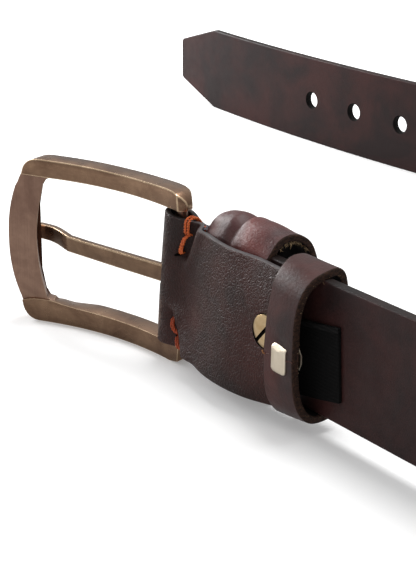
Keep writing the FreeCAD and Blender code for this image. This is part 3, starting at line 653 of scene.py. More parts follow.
def fold_levels():
    """Mid-surface points (levels, stations, 2) and their shares along the middle line."""
    middle = np.asarray(FOLD_LINES[2] + FRONT_RUN, float)
    knots = travelled(middle)
    at = np.linspace(0, knots[-1], FOLD_STATIONS)
    levels = []
    for line in FOLD_LINES:
        points = np.asarray(line + FRONT_RUN, float)
        levels.append(np.stack([spline(knots, points[:, k], at) for k in (0, 1)], 1))
    return np.stack(levels), at, float(knots[13])


LEVELS, ALONG, LOOP_END = fold_levels()
SHARE_STEPS = np.linspace(0, 1, 401)
SHARE_TABLE = np.stack([spline(FOLD_SHARES, row, SHARE_STEPS) for row in np.eye(5)])


def at_shares(lines, share):
    """Points of five lines (5, 2) at shares of the height."""
    weights = np.stack([np.interp(share, SHARE_STEPS, row) for row in SHARE_TABLE], 1)
    return weights @ lines


def from_line(x, z, line):
    """Distance from a line in the (X, z) view, positive on its right, and share along it."""
    line = np.asarray(line, float)
    best = np.full(np.shape(x), 1e9)
    share = np.zeros(np.shape(x))
    lengths = np.linalg.norm(np.diff(line, axis=0), axis=1)
    total, done = lengths.sum(), 0.0
    for start, end, length in zip(line[:-1], line[1:], lengths):
        run = (end - start) / length
        along = (x - start[0]) * run[0] + (z - start[1]) * run[1]
        held = np.clip(along, 0, length)
        dx, dz = x - start[0] - held * run[0], z - start[1] - held * run[1]
        side = np.where((x - start[0]) * -run[1] + (z - start[1]) * run[0] > 0, 1, -1)
        gap = np.hypot(dx, dz)
        nearer = gap < np.abs(best)
        best = np.where(nearer, gap * side, best)
        share = np.where(nearer, (done + held) / total, share)
        done += length
    return best, share


UPPER_PULL = [(8.2, 43.5), (7.6, 40.5), (6.9, 38), (6.3, 35.5), (5.3, 33.2), (4.0, 31.6)]
UPPER_RIDGE = [(13.2, 43.8), (12.2, 40.2), (11.0, 36.9), (9.6, 34.4), (7.6, 31.2), (5.4, 27.4),
               (3.2, 24.6)]
LOWER_CREASE = [(12.9, 3.2), (12.0, 5.2), (10.9, 7.2), (9.5, 9.2), (7.9, 11.2), (6.0, 13.2),
                (3.9, 15.0), (1.6, 16.9), (-0.6, 18.8)]


def relief(x, z):
    """How far the pulled and creased leather stands out of its smooth surface."""
    total = 0.10 * np.sin(0.33 * x + 0.21 * z) * np.sin(0.19 * z - 0.11 * x + 1.0)
    pull, share = from_line(x, z, UPPER_PULL)
    total = total - (1.0 * bump_at(pull, 0, 1.9) * (1 - smooth(share, 0.93, 1.0))
                     * (0.4 + 0.6 * smooth(share, 0.02, 0.22)))
    ridge, share = from_line(x, z, UPPER_RIDGE)
    total = total + (1.15 * bump_at(ridge, 0, 2.0) * (1 - smooth(share, 0.5, 1.0))
                     * (0.3 + 0.7 * smooth(share, 0.02, 0.22)))
    total = total - 0.45 * bump_at(ridge, -4.2, 2.2) * (1 - smooth(share, 0.3, 0.8))
    total = total - 0.8 * bump_at(np.hypot((x - 3.3) / 1.4, z - 32.3), 0, 1.2)
    crease, share = from_line(x, z, LOWER_CREASE)
    fade = 1 - smooth(share, 0.62, 0.98)
    over = smooth(-crease, -0.3, 0.45)
    lip = 2.2 * np.exp(-(np.clip(-crease, 0, 50) / 2.8) ** 2)
    sunk = -1.9 * np.exp(-(np.clip(crease - 0.6, 0, 50) / 3.0) ** 2)
    total = total + fade * (over * lip + (1 - over) * sunk)
    return total


def section(half_thick, half_high):
    """Rounded section of the strap: (across, up) points going round."""
    radius = min(EDGE_ROUND, half_thick * 0.9, half_high * 0.9)
    turn = np.linspace(0, math.pi / 2, CORNER_STEPS + 1)
    corners = []
    for cx, cz, start in ((1, 1, 0), (-1, 1, 1), (-1, -1, 2), (1, -1, 3)):
        corners.append([(cx * (half_thick - radius) + radius * math.cos(a + start * math.pi / 2),
                         cz * (half_high - radius) + radius * math.sin(a + start * math.pi / 2))
                        for a in turn])
    whole = []
    for number in range(4):
        whole += corners[number]
        if number in (1, 3):
            start, end = whole[-1], corners[(number + 1) % 4][0]
            for share in np.linspace(0, 1, FOLD_ROWS + 2)[1:-1]:
                whole.append((start[0] + (end[0] - start[0]) * share,
                              start[1] + (end[1] - start[1]) * share))
    return np.array(whole)


def edge_limits(x, to_front):
    """Bottom and top of the folded end at X."""
    if to_front:
        return (float(np.interp(x, [-4, 5, 34], [6.1, 6.1, LIFT])),
                float(np.interp(x, [-4, -1, 2, 34], [43.0, 42.0, 40.9, LIFT + WIDTH])))
    return (float(np.interp(x, [3, 6, 9, 12, 20, 30, 38, 44],
                            [6.2, 7.1, 7.5, 6.4, 5.9, 5.4, 5.0, 4.8])),
            float(np.interp(x, [-4, -1, 3, 7, 20, 30, 44],
                            [43.2, 42.9, 42.1, 41.4, 40.9, 40.6, 40.3])))


def fold_rings():
    rings = []
    for i in range(FOLD_STATIONS):
        x_mid = LEVELS[2, i, 0]
        to_front = ALONG[i] > LOOP_END - 6
        thick = FOLD_THICK + ((THICK - FOLD_THICK) * smooth(x_mid, 10, 30) if to_front else 0)
        bottom, top = edge_limits(x_mid, to_front)
        inset = 0.0
        from_end = ALONG[i]
        if from_end < 8:
            inset = 8 - math.sqrt(64 - (8 - from_end) ** 2)
        shape = section(thick / 2, (top - bottom) / 2 - inset)
        share = np.clip(0.5 + shape[:, 1] / (top - bottom), 0, 1)
        here = at_shares(LEVELS[:, i], share)
        back = at_shares(LEVELS[:, max(i - 1, 0)], share)
        ahead = at_shares(LEVELS[:, min(i + 1, FOLD_STATIONS - 1)], share)
        run = ahead - back
        run /= np.linalg.norm(run, axis=1)[:, None]
        side = np.stack([run[:, 1], -run[:, 0]], 1)
        height = (top + bottom) / 2 + shape[:, 1]
        strength = 0.0 if to_front else float(1 - smooth(ALONG[i], LOOP_END - 16, LOOP_END - 9))
        stand = relief(here[:, 0], height) * strength
        spot = here + side * (shape[:, :1] - stand[:, None])
        rings.append(np.c_[spot, height])
    return rings


def tip_limits(from_tip):
    """Half-height of the taper-cut end at a distance from the tip."""
    half = np.interp(from_tip, [0, 28.0], [9.0, WIDTH / 2])
    if from_tip < 1.2:
        half -= 1.2 - math.sqrt(max(1.44 - (1.2 - from_tip) ** 2, 0))
    return half


def path_rings():
    start = 36.0 - PINCH
    distances = list(np.arange(start + 0.8, NEAR_RUN - PINCH, 4.0))
    distances += list(np.arange(NEAR_RUN - PINCH, NEAR_RUN - PINCH + TURN_LENGTH, 2.5))
    distances += list(np.arange(NEAR_RUN - PINCH + TURN_LENGTH, PATH_LENGTH - 34, 4.0))
    distances += list(np.arange(PATH_LENGTH - 34, PATH_LENGTH - 2, 1.0))
    distances += list(PATH_LENGTH - np.array([1.6, 1.2, 0.8, 0.5, 0.25, 0.08, 0.0]))
    rings = []
    for distance in distances:
        x, y, course = station(PATH, distance)
        half = tip_limits(PATH_LENGTH - distance)
        shape = section(THICK / 2, half)
        base = WIDTH / 2
        if distance < NEAR_RUN - PINCH:
            base = MID - float(drop(x))
        side = np.array([math.sin(course), -math.cos(course)])
        spot = np.array([x, y]) + np.outer(shape[:, 0], side)
        rings.append(np.c_[spot, base + shape[:, 1]])
    return rings


SCREW = np.array([43.5, -6.3, 24.3])
SCREW_HOLE, POST_HOLE = 4.58, 4.3
HOLE, HOLE_RIM = 3.25, 3.62
EYE_LOW, EYE_HIGH = 22.5, 28.1
OUTWARD = np.array([-math.cos(SWING), -math.sin(SWING), 0.0])
FRONTWARD = np.array([-math.sin(SWING), math.cos(SWING), 0.0])
UPWARD = np.array([0.0, 0.0, 1.0])


def strap_cutters():
    """Punched holes, stitch holes, the slit, the prong's slot and the screw's hole."""
    tools = []
    rim = [(-4.0, HOLE_RIM), (-1.48, HOLE_RIM), (-1.12, HOLE), (1.12, HOLE), (1.48, HOLE_RIM),
           (4.0, HOLE_RIM)]
    for index in range(HOLE_COUNT):
        x, y, course = station(PATH, PATH_LENGTH - HOLE_FIRST - HOLE_PITCH * index)
        side = (math.sin(course), -math.cos(course), 0)
        tools.append(turned_solid((x, y, WIDTH / 2), side, rim))
    for x, y, z, radius in ((5.0, -2.4, 38.3, 0.75), (2.2, -4.2, 13.9, 0.6),
                            (4.1, -3.9, 9.6, 0.7), (5.9, -3.6, 6.4, 0.5)):
        tools.append(turned_solid((x, y, z), (0, 1, 0), [(-2.6, radius), (1.0, radius)], 16))
    for x, z in ((4.4, 38.6), (4.4, 32.4), (4.4, 13.6), (4.4, 9.2)):
        tools.append(turned_solid((x, 3, z), (0, 1, 0), [(-1.4, 0.7), (2.0, 0.7)], 16))
    tools.append(turned_solid((3.3, -3.2, 32.4), (0, 1, 0), [(-2.5, 1.0), (0.9, 0.8)], 28,
                              math.radians(-32), (1.55, 0.62)))
    centre = OUTWARD * 3.9 + FRONTWARD * 1.4 + UPWARD * (EYE_LOW + EYE_HIGH) / 2
    tools.append(box_solid(centre, (OUTWARD, FRONTWARD, UPWARD), (5.5, 5.5, 3.15)))
    face = SCREW + np.array([0, 0.1, 0])
    tools.append(turned_solid(face, (0, 1, 0), [(-3.0, SCREW_HOLE), (1.0, SCREW_HOLE)], 64))
    tools.append(turned_solid((SCREW[0], THICK, SCREW[2]), (0, 1, 0),
                              [(-0.85, POST_HOLE), (2.0, POST_HOLE)], 64))
    return tools


def build_strap():
    rings = fold_rings() + path_rings()
    size = len(rings[0])
    strap = loft("strap_leather", rings)
    corner = CORNER_STEPS + 1
    band = 2 * corner - 1
    kinds = np.zeros(size, int)
    # kind 1: the top and bottom edge bands, which keep the light grey edge paint (a painted
    # highlight) on the tab and take the dark edge elsewhere
    kinds[2:band - 2] = 1
    kinds[band + FOLD_ROWS + 3:2 * band + FOLD_ROWS - 1] = 1
    inner = np.zeros(size, bool)
    inner[2 * band + FOLD_ROWS + 1:] = True
    indices = []
    for i in range(len(rings) - 1):
        row = kinds.copy()
        if i < FOLD_STATIONS and (LEVELS[2, i, 0] < 45):
            row[inner] = 2
        if i >= FOLD_STATIONS:
            row[kinds == 0] = 4
            row[kinds == 1] = 5
        elif ALONG[i] > LOOP_END - 4:
            row[(kinds == 0) & ~inner] = 4
            row[kinds == 1] = 5
        elif LEVELS[4, i, 0] < 5.5:
            row[kinds == 1] = 5
        indices += row.tolist()
    indices += [1, 5]
    paint_faces(strap, indices)
    finish_mesh(strap)
    # the cut walls take slot 3, the near-black painted shade
    tool = cutter(strap_cutters(), 3)
    open_slots(strap, 6)
    open_slots(tool, 6)
    subtract(strap, tool)
    return finish_mesh(strap, 40)


strap = dressed(build_strap(), "belt",
                [TAB_LEATHER, LIT_EDGE_PAINT, FLESH, SHADE_CUT, STRAP_LEATHER, STRAP_EDGE], ["strap"])


# ---------------------------------------------------------------- stitches

def strand(points, thick, pitch=1.7, phase=0.0):
    """A two-ply twisted thread along points."""
    ply = thick * 0.25
    offset = thick * 0.27
    points = np.asarray(points, float)
    length = np.linalg.norm(np.diff(points, axis=0), axis=1).sum()
    path = curve_through(points, max(12, int(length / 0.11)))
    normals, others = frames_along(path)
    along = travelled(path)
    pieces = []
    for number in range(2):
        angle = (2 * math.pi * along / pitch + phase + number * math.pi)[:, None]
        centre = path + offset * (np.cos(angle) * normals + np.sin(angle) * others)
        pieces.append(tube(centre, ply, 8))
    return pieces


def doubled(points, away, gap, thick, phase=0.0):
    """Two strands side by side along points."""
    points = np.asarray(points, float)
    away = np.asarray(away, float)
    return (strand(points + away * gap, thick, phase=phase)
            + strand(points - away * gap, thick, phase=phase + 1.3))


UPPER_OVER = [(4.9, -0.9, 37.9), (4.85, -1.9, 38.2), (5.2, -2.45, 39.4), (5.55, -2.6, 40.8),
              (5.5, -2.35, 41.8), (5.35, -1.5, 42.4), (5.2, -0.5, 42.55), (5.1, 0.5, 42.3),
              (5.0, 1.3, 41.7), (4.9, 1.9, 40.8), (4.8, 2.3, 39.8)]
UPPER_FACE = [(5.3, -0.9, 37.9), (5.5, -1.9, 37.7), (5.35, -2.75, 37.2), (4.9, -3.15, 35.9),
              (4.5, -3.3, 34.6), (3.9, -3.1, 33.2), (3.3, -2.3, 32.4), (3.1, -1.4, 32.2)]
LOWER_FACE_A = [(1.9, -2.6, 14.0), (2.4, -4.3, 14.0), (2.9, -5.1, 12.73), (3.7, -5.25, 11.63),
                (4.6, -4.8, 10.73), (4.5, -3.2, 9.9)]
LOWER_FACE_B = [(3.4, -2.6, 9.3), (4.2, -4.3, 9.0), (5.0, -5.05, 7.93), (5.9, -5.2, 7.03),
                (6.6, -4.8, 6.63), (6.4, -3.2, 6.4)]


def front_stitch(*heights):
    """Two strands on the strap's front, from hole to hole."""
    depths = 2.2, 3.5, 3.95, 3.95, 3.5, 2.2
    return doubled([(4.4, y, z) for y, z in zip(depths, heights)], (1, 0, 0), 0.48, 0.9)


def build_stitches():
    upper = doubled([(x + 0.4, y, z) for x, y, z in UPPER_OVER], (0.9, 0.3, -0.1), 0.52, 0.74)
    upper += doubled(UPPER_FACE, (0.85, 0.1, 0.3), 0.45, 0.7, 0.6)
    upper += front_stitch(38.5, 38.1, 36.8, 34.2, 32.9, 32.5)
    dressed(gathered("upper_thread", upper), "belt", THREAD, ["upper_stitches"])
    lower = doubled(LOWER_FACE_A, (0.8, 0.1, 0.3), 0.48, 0.8)
    lower += doubled(LOWER_FACE_B, (0.8, 0.1, 0.3), 0.48, 0.8, 0.9)
    lower += front_stitch(13.6, 13.2, 12.2, 10.7, 9.6, 9.2)
    # the lower stitches take the darker copy of the thread, a painted shade
    dressed(gathered("lower_thread", lower), "belt", SHADED_THREAD,
            ["lower_stitches"])
    loose = strand([(9.4, 0.7, 39.4), (9.7, 0.6, 40.4), (10.0, 0.4, 41.0), (10.3, 0.2, 41.1)],
                   0.6)
    dressed(gathered("loose_thread_end", loose), "belt", THREAD)


def tufts(name, spots, seed, length, radius, body, material):
    """Short curled fibres standing at spots, each with a direction."""
    draw = np.random.default_rng(seed)
    pieces = []
    for place, lean in spots:
        lean = np.asarray(lean, float) + draw.normal(0, 0.55, 3)
        lean /= np.linalg.norm(lean)
        curl = draw.normal(0, 0.4, 3)
        size = length * draw.uniform(0.5, 1.2)
        steps = np.linspace(0, 1, 7)[:, None]
        path = np.asarray(place, float) + size * (steps * lean + steps ** 2 * curl * 0.6)
        pieces.append(tube(path, np.linspace(radius, radius * 0.5, 7), 5))
    return dressed(gathered(name, pieces), body, material)


build_stitches()
draw = np.random.default_rng(5)
# pale fibres in the gap above the tab, partly a painted glint
tufts("gap_fibres_and_glint", [((10.4 + draw.uniform(-0.9, 1.2), draw.uniform(-0.3, 0.9),
                       40.3 + draw.uniform(0, 0.6)), (0.1, -0.3, 1)) for _ in range(26)],
      11, 1.3, 0.07, "belt", PALE_FIBRE_AND_GLINT)


# ---------------------------------------------------------------- keepers

def band(name, outline_at, low, high, thick, radius, runs, thinner=0.0):
    """Closed band round the strap: outline_at(X) gives its outer wall in (Y, z)."""
    profile, kinds = [], []

    def add(kind, points):
        profile.extend(points)
        kinds.extend([kind] * len(points))

    left, right, deep = low + radius, high - radius, thick - radius
    turn = [(radius * math.sin(a), radius * math.cos(a))
            for a in np.linspace(0, math.pi / 2, 5)[1:-1]]
    wall = [radius + (thick - 2 * radius) * share for share in (0.0, 0.5, 1.0)]
    add(0, [(x, 0.0) for x in np.linspace(left, right, runs)])
    kinds[-1] = 1
    add(1, [(right + s, radius - c) for s, c in turn])
    add(1, [(high, depth) for depth in wall])
    add(1, [(right + c, deep + s) for s, c in turn])
    add(2, [(x, thick) for x in np.linspace(right, left, max(6, runs // 3))])
    kinds[-1] = 1
    add(1, [(left - s, deep + c) for s, c in turn])
    add(1, [(low, depth) for depth in wall[::-1]])
    add(1, [(left - c, radius - s) for s, c in turn])
    rings = []
    for x, depth in profile:
        outline = outline_at(x)
        run = np.roll(outline, -1, 0) - np.roll(outline, 1, 0)
        run /= np.linalg.norm(run, axis=1)[:, None]
        inward = np.stack([-run[:, 1], run[:, 0]], 1)
        area = np.sum(outline[:, 0] * np.roll(outline[:, 1], -1)
                      - np.roll(outline[:, 0], -1) * outline[:, 1])
        inward *= 1 if area > 0 else -1
        depth *= 1 - thinner * (high - x) / (high - low)
        rings.append(np.hstack([np.full((len(outline), 1), x), outline + inward * depth]))
    obj = loft(name, rings, closed=True)
    paint_faces(obj, np.repeat(kinds, len(rings[0])).tolist())
    return finish_mesh(obj, 50)


WIDE_RIM = [(-1.75, 23.0), (-1.75, 31.0), (-1.5, 37.5), (-1.0, 40.0), (0.5, 42.1), (2.0, 43.8),
            (4.2, 45.0), (6.4, 45.25), (9.1, 44.8), (11.4, 43.6), (13.2, 41.9), (14.4, 39.8),
            (15.3, 37.3), (16.0, 31.0), (16.1, 23.5), (15.9, 15.0), (14.9, 8.4), (12.6, 4.6),
            (9.0, 2.6), (5.0, 2.4), (1.8, 3.8), (-0.6, 5.4), (-1.6, 8.5), (-1.75, 15.0)]
WIDE_TOP = [(9, -2.5), (10, -1.6), (11, -0.9), (12.6, -0.3), (15.5, 0.6), (17.5, 0.95),
            (19.5, 1.0), (21.3, 0.5), (22.4, 0.35), (23.4, 0.7), (25, 1.05), (27, 1.35),
            (29.6, 1.4), (32, 1.1), (34.8, 0.6), (38, 0.0)]
WIDE_BASE = closed_curve(WIDE_RIM, 150)
WIDE_SPAN = 8.8, 38.0


def wide_outline(x):
    rim = WIDE_BASE
    centre = np.array([6.5, 23.8])
    away = rim - centre
    away /= np.linalg.norm(away, axis=1)[:, None]
    high = smooth(rim[:, 1], 30, 42) + 0.6 * smooth(-rim[:, 1], -18, -4)
    high = np.maximum(high, 0.5 * smooth(rim[:, 0], 4, 14))
    high = high * (1 - 0.85 * smooth(rim[:, 0], 5.5, 11.5))
    grow = spline(*zip(*WIDE_TOP), np.array([x]))[0] * high
    crease = 22.6 - 0.10 * np.clip(rim[:, 0] - 1, -3, 8)
    dent = -0.55 * bump_at(x, crease, 0.8) - 0.25 * bump_at(x, crease - 1.2, 1.4)
    dent = dent + 0.3 * bump_at(x, crease + 2.4, 1.6)
    dent = dent + 0.12 * bump_at(x, 29.5 + 0.3 * rim[:, 0], 2.6) - 0.12 * bump_at(x, 34.5, 2.0)
    ripple = 0.06 * np.sin(0.9 * x + 0.35 * rim[:, 1]) * np.sin(0.31 * rim[:, 0] + 0.5)
    grow = grow + (dent + ripple) * smooth(rim[:, 1], 30, 38)
    pull = min(1.0, max(0.0, (12.5 - x) / 3.7)) ** 2 * 1.6
    return rim + away * (grow - pull * (1 - 0.35 * high))[:, None]


def rim_spots(chosen, centre, seed, count, depth, x_from, lean):
    """Places just inside a band's rim, each with a direction that leans inwards."""
    pick = np.random.default_rng(seed)
    spots = []
    for _ in range(count):
        point = chosen[pick.integers(len(chosen))]
        inward = np.array(centre) - point
        inward /= np.linalg.norm(inward)
        place = point + inward * pick.uniform(*depth)
        spots.append(((x_from(pick), *place), (lean, *(inward * 0.7))))
    return spots


def build_wide_keeper():
    keeper = band("wide_keeper_band", wide_outline, *WIDE_SPAN, 1.75, 0.45, 70)
    # the inside of the band takes the near-black painted shade
    dressed(keeper, "belt", [KEEPER_LEATHER, RAW_EDGE, SHADE_CUT],
            ["wide_keeper"])
    rim = wide_outline(WIDE_SPAN[1])
    chosen = rim[(rim[:, 0] > 1.5) & (rim[:, 0] < 13.0) & (rim[:, 1] > 38)]
    spots = rim_spots(chosen, (6.5, 30.0), 3, 90, (1.5, 2.3),
                      lambda pick: WIDE_SPAN[1] - pick.uniform(0.1, 1.6), 0.8)
    tufts("wide_keeper_fibres", spots, 7, 1.0, 0.06, "belt", FIBRE)


NARROW_LEFT = [(-8.36, 17.5), (-8.35, 20.9), (-8.02, 24.7), (-7.5, 30.6), (-6.8, 34.1),
               (-5.7, 38.2), (-4.35, 40.5), (-2.85, 42.1), (-0.57, 43.55), (1.9, 43.8),
               (4.1, 43.4), (6.4, 41.9), (8.0, 39.2), (8.9, 35.0), (9.3, 24.0), (9.0, 12.0),
               (8.0, 7.6), (5.8, 4.7), (2.4, 3.3), (-0.9, 3.0), (-3.3, 3.15), (-5.2, 4.95),
               (-6.6, 7.0), (-7.8, 10.6)]
NARROW_RIGHT = [(-8.78, 17.5), (-8.93, 21.0), (-8.82, 25.7), (-8.63, 31.3), (-7.9, 34.9),
                (-6.3, 38.5), (-4.2, 40.7), (-2.3, 41.8), (-0.2, 42.4), (2.5, 42.9),
                (5.0, 42.85), (7.0, 41.2), (7.9, 38.2), (8.7, 34.0), (9.1, 24.0),
                (8.9, 12.0), (8.0, 7.6), (5.8, 4.9), (2.4, 3.6), (0.0, 3.5), (-2.5, 3.95),
                (-5.2, 6.0), (-7.2, 9.3), (-8.3, 13.1)]
NARROW_ENDS = closed_curve(NARROW_LEFT, 150), closed_curve(NARROW_RIGHT, 150)
NARROW_SPAN = 46.0, 58.0


def narrow_outline(x):
    share = (x - NARROW_SPAN[0]) / (NARROW_SPAN[1] - NARROW_SPAN[0])
    shape = NARROW_ENDS[0] * (1 - share) + NARROW_ENDS[1] * share
    low = bump_at(shape[:, 1], 16.4, 1.3) * bump_at(x, 52.7, 2.6)
    nip = bump_at(shape[:, 1], 25.4, 1.2) * bump_at(x, 52.7, 2.6)
    crown = 0.18 * math.sin(math.pi * share)
    back = (shape[:, 0] < 0)[:, None]
    out = np.stack([np.full(len(shape), -1.0), np.zeros(len(shape))], 1)
    return shape + out * back * (crown - 0.35 * low - 0.3 * nip)[:, None]


def build_narrow_keeper():
    keeper = band("narrow_keeper_band", narrow_outline, *NARROW_SPAN, 2.05, 0.4, 26, 0.2)
    # the inside of the band takes the near-black painted shade
    dressed(keeper, "sliding_keeper", [NARROW_LEATHER, RAW_EDGE, SHADE_CUT],
            ["narrow_keeper"])
    rim = narrow_outline(NARROW_SPAN[1])
    spots = rim_spots(rim[rim[:, 0] < 6.5], (0.0, 23.5), 9, 80, (1.2, 1.9),
                      lambda pick: 57.75, 0.7)
    tufts("narrow_keeper_fibres", spots, 13, 0.55, 0.05, "sliding_keeper",
          FIBRE)
    seam = []
    for low, high in ((46.5, 50.3), (55.3, 57.9)):
        line = []
        for x in np.linspace(low, high, 9):
            outline = narrow_outline(x)
            near = outline[outline[:, 0] < 0]
            height = 20.5 + 0.11 * (x - 46.4)
            order = np.argsort(near[:, 1])
            y = np.interp(height, near[order, 1], near[order, 0])
            line.append((x, y - 0.02, height + 0.1 * math.sin(3 * x)))
        seam.append(tube(curve_through(line, 40), 0.13, 6))
    dressed(gathered("narrow_keeper_seam", seam), "sliding_keeper", SEAM)
    tip = strand([(46.9, -8.3, 20.2), (46.2, -8.5, 20.4), (45.8, -8.4, 20.8)], 0.5, 1.0)
    dressed(gathered("narrow_keeper_thread", tip), "sliding_keeper",
            TAN_THREAD)


build_wide_keeper()
build_narrow_keeper()


# ---------------------------------------------------------------- staples, screw, woven tab

def staple_crown(name, outline, face, thick, bulge, fold, bevel=0.28):
    """Flat wire crown seen in (X, z), bulging off its leather, its top folded inwards."""
    work = extruded(outline, 0.0, -thick)
    bevelled(work, 25, bevel, profile=0.6)
    xs, zs = zip(*outline)
    sliced(work, 2, np.arange(min(zs) + 0.4, max(zs), 0.45))
    sliced(work, 0, np.arange(min(xs) + 0.4, max(xs), 0.6))
    middle, half = (min(xs) + max(xs)) / 2, (max(xs) - min(xs)) / 2
    for vertex in work.verts:
        x, y, z = vertex.co
        arched = 1 - ((x - middle) / half) ** 2
        over = max(0.0, z - (fold - 0.35 * arched))
        under = max(0.0, min(zs) + 0.8 - z)
        vertex.co.y = y - bulge * arched + 0.75 * over + 0.3 * under
        vertex.co = Vector((np.array(vertex.co) + np.array([0, face, 0])) / 1000 + BAR)
    return from_bmesh(name, work, 30)


CROWN = [(50.2, 24.0), (50.5, 24.4), (51.2, 24.65), (54.5, 24.65), (55.2, 24.4), (55.5, 24.0),
         (55.5, 18.0), (55.2, 17.55), (54.5, 17.3), (50.9, 17.3), (50.3, 17.6), (50.1, 18.1)]
BURIED = [(21.6, 26.9), (22.4, 27.6), (24.4, 27.6), (25.2, 26.9), (25.2, 19.5), (24.4, 18.8),
          (22.4, 18.8), (21.6, 19.5)]
# pale staple plate inside the narrow keeper's right rim, standing in for the glint there: a
# painted highlight
GLINT_PLATE = [(55.6, 18.6), (55.6, 25.0), (57.2, 24.6), (58.25, 22.9), (58.3, 20.9), (57.4, 19.0)]


def build_fittings():
    crown = staple_crown("narrow_keeper_crown", CROWN, -8.75, 0.5, 0.22, 23.5)
    dressed(crown, "sliding_keeper", STAPLE_METAL, ["narrow_keeper_staple"])
    # pale plate for the glint on the keeper's inner rim, a painted highlight
    glint_plate = staple_crown("narrow_keeper_glint_plate", GLINT_PLATE, -6.15, 0.3, 0.05, 30.0, 0.1)
    dressed(glint_plate, "sliding_keeper", STAPLE_METAL)
    buried = staple_crown("wide_keeper_crown", BURIED, -1.55, 0.4, 0.1, 26.9, 0.18)
    dressed(buried, "belt", STAPLE_METAL, ["wide_keeper_staple"])
    back = (0, -1, 0)
    profile = [(-3.5, 1.6), (-1.6, 1.6), (-1.55, 4.1), (-0.55, 4.4), (-0.2, 4.35),
               (-0.05, 4.1), (0.04, 3.4), (0.08, 2.0), (0.1, 0.3)]
    screw = gathered("slotted_screw_head", [turned_solid(SCREW, back, profile, 72)])
    paint_faces(screw, [0] * len(screw.data.polygons))
    tilt = math.radians(48)
    axes = ((math.cos(tilt), 0, math.sin(tilt)), (0, 1, 0), (-math.sin(tilt), 0, math.cos(tilt)))
    # the slot walls take the near-black painted shade
    slot = cutter([box_solid(SCREW + np.array([0, -0.35, 0]), axes, (6.0, 0.85, 0.5))], 1)
    open_slots(screw, 2)
    subtract(screw, slot)
    dressed(finish_mesh(screw, 35), "belt", [SCREW_METAL, SLOT_SHADE_METAL],
            ["slotted_screw"])
    flange = [(-0.8, 2.5), (-0.75, 4.15), (-0.2, 4.2), (0.0, 4.0), (0.06, 3.2), (0.0, 1.6),
              (-0.22, 0.9), (-0.25, 0.2)]
    post = gathered("screw_post_flange",
                    [turned_solid((SCREW[0], THICK, SCREW[2]), (0, 1, 0), flange, 64)])
    dressed(post, "belt", SCREW_METAL, ["screw_post"])


def tape_layer(name, points, low, high, material):
    """One layer of tape, sliced so that its reverse can ripple."""
    work = extruded(points, low, high)
    bmesh.ops.bevel(work, geom=work.edges[:], offset=0.16, segments=2, profile=0.5,
                    affect="EDGES", clamp_overlap=True)
    for axis in (0, 2):
        reach = [vertex.co[axis] for vertex in work.verts]
        sliced(work, axis, np.arange(min(reach) + 0.3, max(reach), 0.55))
    for vertex in work.verts:
        x, y, z = vertex.co
        if y < (low + high) / 2:
            y -= 0.07 * math.sin(0.7 * x + 0.2 * z) * math.sin(0.5 * z)
        vertex.co = Vector(np.array([x, y, z]) / 1000 + BAR)
    return dressed(from_bmesh(name, work, 40), "belt", material)


def build_woven_tab():
    """Folded woven tape lying on the strap's reverse, with a turned-down top edge painted lighter
    as a highlight.
    """
    corners = [(48.3, 28.2), (64.8, 31.0), (66.1, 12.0), (61.1, 10.9), (48.3, 8.3)]
    base = tape_layer("woven_tape", corners, -0.95, -0.02, TAPE)
    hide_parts("woven_tab")
    fold = [(48.3, 28.2), (64.8, 31.0), (64.9, 29.7), (48.3, 26.9)]
    tape_layer("woven_tape_fold", fold, -1.15, -0.85, LIT_TAPE_FOLD)


build_fittings()
build_woven_tab()


# ---------------------------------------------------------------- buckle

REACH = 59.3
ARM_HALF = 3.2
BAR_BACK, BAR_FRONT = -2.7, 2.1
# A hair off the vertical, because turned_solid crosses its axis with the vertical.
UPRIGHT = (0.0, 0.0002, 1)


def arch(u):
    return 4 * 5.3 * (u / REACH) * (1 - u / REACH)


def buckle_place(points, centre):
    """World layout points of buckle points (u outwards, v to the front, w up)."""
    points = np.asarray(points, float)
    place = np.outer(points[:, 0], OUTWARD) + np.outer(points[:, 1], FRONTWARD)
    place[:, 2] = centre + points[:, 2]
    return place


def plate(name, outline, back, front, bevel, line, centre, cuts=(), slices=2.0, shear=None):
    """Plate from an outline (u, w), between two faces (v), bevelled and bent along a line."""
    work = extruded(outline, back, front)
    for point, normal in cuts:
        bisected(work, point, normal, clear_outer=True)
        open_edges = [edge for edge in work.edges if edge.is_boundary]
        bmesh.ops.edgeloop_fill(work, edges=open_edges)
    bmesh.ops.recalc_face_normals(work, faces=work.faces)
    # bevel faces take the second material: wear and a painted highlight
    bevelled(work, 24, bevel, profile=0.5, material=1)
    reach = [vertex.co.x for vertex in work.verts]
    sliced(work, 0, np.arange(min(reach) + slices / 2, max(reach), slices))
    bmesh.ops.triangulate(work, faces=[f for f in work.faces if len(f.verts) > 4])
    points = np.array([vertex.co[:] for vertex in work.verts])
    if shear is not None:
        points = shear(points)
    points[:, 1] += line(points[:, 0])
    for vertex, place in zip(work.verts, buckle_place(points, centre)):
        vertex.co = place
    metres = Matrix.Translation(Vector(BAR)) @ Matrix.Scale(0.001, 4)
    return from_bmesh(name, work, 32, 2, metres)


def facet(first, second, third):
    """Cutting plane through three points, its outer side away from the buckle's middle."""
    first, second, third = (np.array(item, float) for item in (first, second, third))
    normal = np.cross(second - first, third - first)
    if np.dot(normal, first - np.array([20.0, 0.0, first[2] * 0.7])) < 0:
        normal = -normal
    return tuple(first), tuple(normal / np.linalg.norm(normal))


UPPER_CORNER = [(54.8, 19.5), (54.5, 20.9), (53.8, 22.5), (52.5, 23.75), (50.6, 24.35),
                (48.2, 24.45)]
LOWER_CORNER = [(55.8, -18.6), (55.5, -20.3), (54.9, -21.9), (53.9, -23.2), (52.5, -24.1),
                (50.6, -24.42), (48.4, -24.45)]


